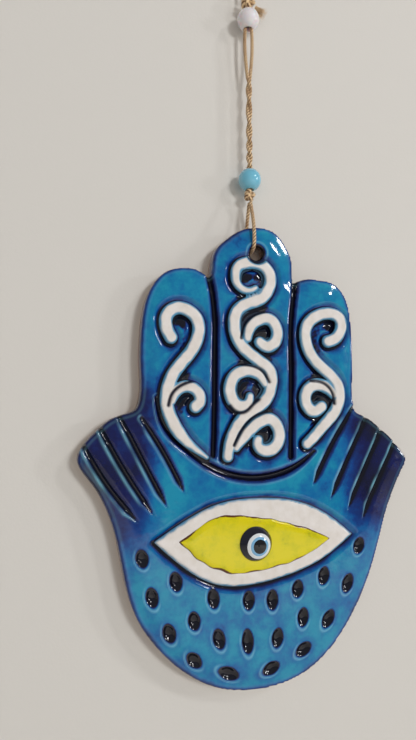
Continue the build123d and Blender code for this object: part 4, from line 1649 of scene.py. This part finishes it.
@dataclass
class Studio:
    """Camera, lamps, wall and floor.

    Attributes:
        camera_place: place of the camera, in millimetres.
        yaw: turn of the camera to the right, in degrees.
        pitch: turn upwards, in degrees.
        lens: focal length on a 36 mm sensor.
        wall_y: Y of the wall behind the hand.
        floor_z: Z of the floor.
        aim: place that the lamps point at.
        wall_colour: colour of the wall and the floor.
        room: half width of the wall and the floor, and height of the wall, in metres.
    """

    camera_place: Triple = (-78.35, -222.0, -217.45)
    yaw: float = 14.96
    pitch: float = 6.34
    lens: float = 27.05
    wall_y: float = 6.4
    floor_z: float = -620.0
    aim: Triple = (0.0, 0.0, -200.0)
    wall_colour: Colour = linear(206, 202, 196)
    room: tuple[float, float] = (3.0, 2.2)

    def camera(self) -> None:
        """Places the camera at the photograph's viewpoint."""
        data = bpy.data.cameras.new("camera")
        data.lens = self.lens
        data.sensor_width = 36.0
        data.clip_start = 0.01
        made = bpy.data.objects.new("camera", data)
        bpy.context.scene.collection.objects.link(made)
        made.location = Vector(self.camera_place) * MM
        yaw, pitch = math.radians(self.yaw), math.radians(self.pitch)
        ahead = Vector((math.cos(pitch) * math.sin(yaw), math.cos(pitch) * math.cos(yaw), math.sin(pitch)))
        made.rotation_euler = ahead.to_track_quat("-Z", "Y").to_euler()
        bpy.context.scene.camera = made

    def lamp(self, name: str, way: Triple, distance: float, size: float, power: float,
             colour: Triple) -> bpy.types.Object:
        """Places a square lamp in a direction from the hand, turned towards it.

        Args:
            name: name of the lamp.
            way: direction of the lamp from the hand.
            distance: its distance in metres.
            size: its side in metres.
            power: its power in watts.
            colour: its linear colour.

        Returns:
            The lamp.
        """
        data = bpy.data.lights.new(name, "AREA")
        data.size = size
        data.energy = power
        data.color = colour
        made = bpy.data.objects.new(name, data)
        bpy.context.scene.collection.objects.link(made)
        towards = Vector(way).normalized()
        made.location = Vector(self.aim) * MM + towards * distance
        made.rotation_euler = (-towards).to_track_quat("-Z", "Y").to_euler()
        return made

    def surroundings(self) -> None:
        """Builds the wall, which is clear from behind, and the floor."""
        wide, high = self.room
        wall_y, floor_z = self.wall_y * MM, self.floor_z * MM
        corners = np.array([(-1, -1), (1, -1), (1, 1), (-1, 1)], float) * wide
        face = np.array([[0, 1, 2, 3]])
        heights = np.array([floor_z, floor_z, high, high])
        wall = new_object("wall", np.column_stack([corners[:, 0], np.full(4, wall_y), heights]), face, False)
        floor = new_object("floor", np.column_stack([corners, np.full(4, floor_z)]), face, False)
        shader = Shader("wall_paint")
        shader.bump(shader.noise(900.0, 3.0), 0.12, 0.0004)
        shader.finish(Base_Color=self.wall_colour, Roughness=0.9)
        clear = shader.tree.nodes.new("ShaderNodeBsdfTransparent")
        side = shader.tree.nodes.new("ShaderNodeNewGeometry")
        both = shader.tree.nodes.new("ShaderNodeMixShader")
        out = shader.tree.nodes["Material Output"]
        shader.put(both.inputs[0], side.outputs["Backfacing"])
        shader.put(both.inputs[1], shader.surface.outputs[0])
        shader.put(both.inputs[2], clear.outputs[0])
        shader.put(out.inputs["Surface"], both.outputs[0])
        wall.data.materials.append(shader.material)
        floor.data.materials.append(PlainFinish("floor_paint", self.wall_colour, 0.8).material())
        wall.visible_shadow = False

    def build(self) -> None:
        """Sets the stage: wall, floor, lamps and the even light of the room."""
        self.surroundings()
        key = self.lamp("window_light", (0.33, -0.92, 0.18), 2.2, 0.40, 20.0, (0.97, 0.99, 1.0))
        key.visible_glossy = False
        self.lamp("window_glint", (0.56, -0.66, 0.48), 1.5, 0.13, 2.7, (0.99, 0.99, 1.0))
        self.lamp("side_glint", (0.84, -0.50, 0.16), 1.5, 0.13, 2.7, (0.96, 0.98, 1.0))
        fill = self.lamp("room_fill", (-0.25, -0.95, -0.22), 1.8, 2.0, 16.2, (1.0, 0.93, 0.84))
        fill.visible_glossy = False
        self.lamp("back_light", (0.30, 0.92, 0.30), 2.0, 1.2, 14.0, (1.0, 0.98, 0.95))
        world = bpy.data.worlds.new("room")
        world.use_nodes = True
        background = world.node_tree.nodes["Background"]
        background.inputs["Color"].default_value = linear(232, 236, 244)
        background.inputs["Strength"].default_value = 0.22
        bpy.context.scene.world = world
        bpy.context.scene.view_settings.view_transform = "Standard"


def main() -> None:
    """Builds the whole ornament in order and keeps its size."""
    logging.basicConfig(level=logging.INFO, format="%(message)s")
    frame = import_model()
    studio = Studio()
    studio.camera()
    Hanging(JuteFinish().material()).build()
    HandPlaque().build()
    white = WhiteGlaze().material()
    for name in SCROLL_SHARES:
        Scroll(name, white).build()
    eye = Eye(white)
    eye.almond()
    eye.iris()
    eye.glass(frame["nodes"])
    milky = PlainFinish("milky_bead_glass", linear(226, 222, 224), 0.16, clear=0.06, milk=0.30, coat=1.0)
    blue = PlainFinish("turquoise_bead_glass", linear(112, 182, 206), 0.16, coat=1.0)
    Bead("milky_bead", "white_bead", WHITE_BEAD_Z, Body.WHITE_BEAD, Slot.MILKY_BEAD, milky).build()
    Bead("blue_bead", "turquoise_bead", TURQUOISE_BEAD_Z, Body.TURQUOISE_BEAD, Slot.TURQUOISE_BEAD,
         blue).build()
    studio.build()


if __name__ == "__main__":
    main()
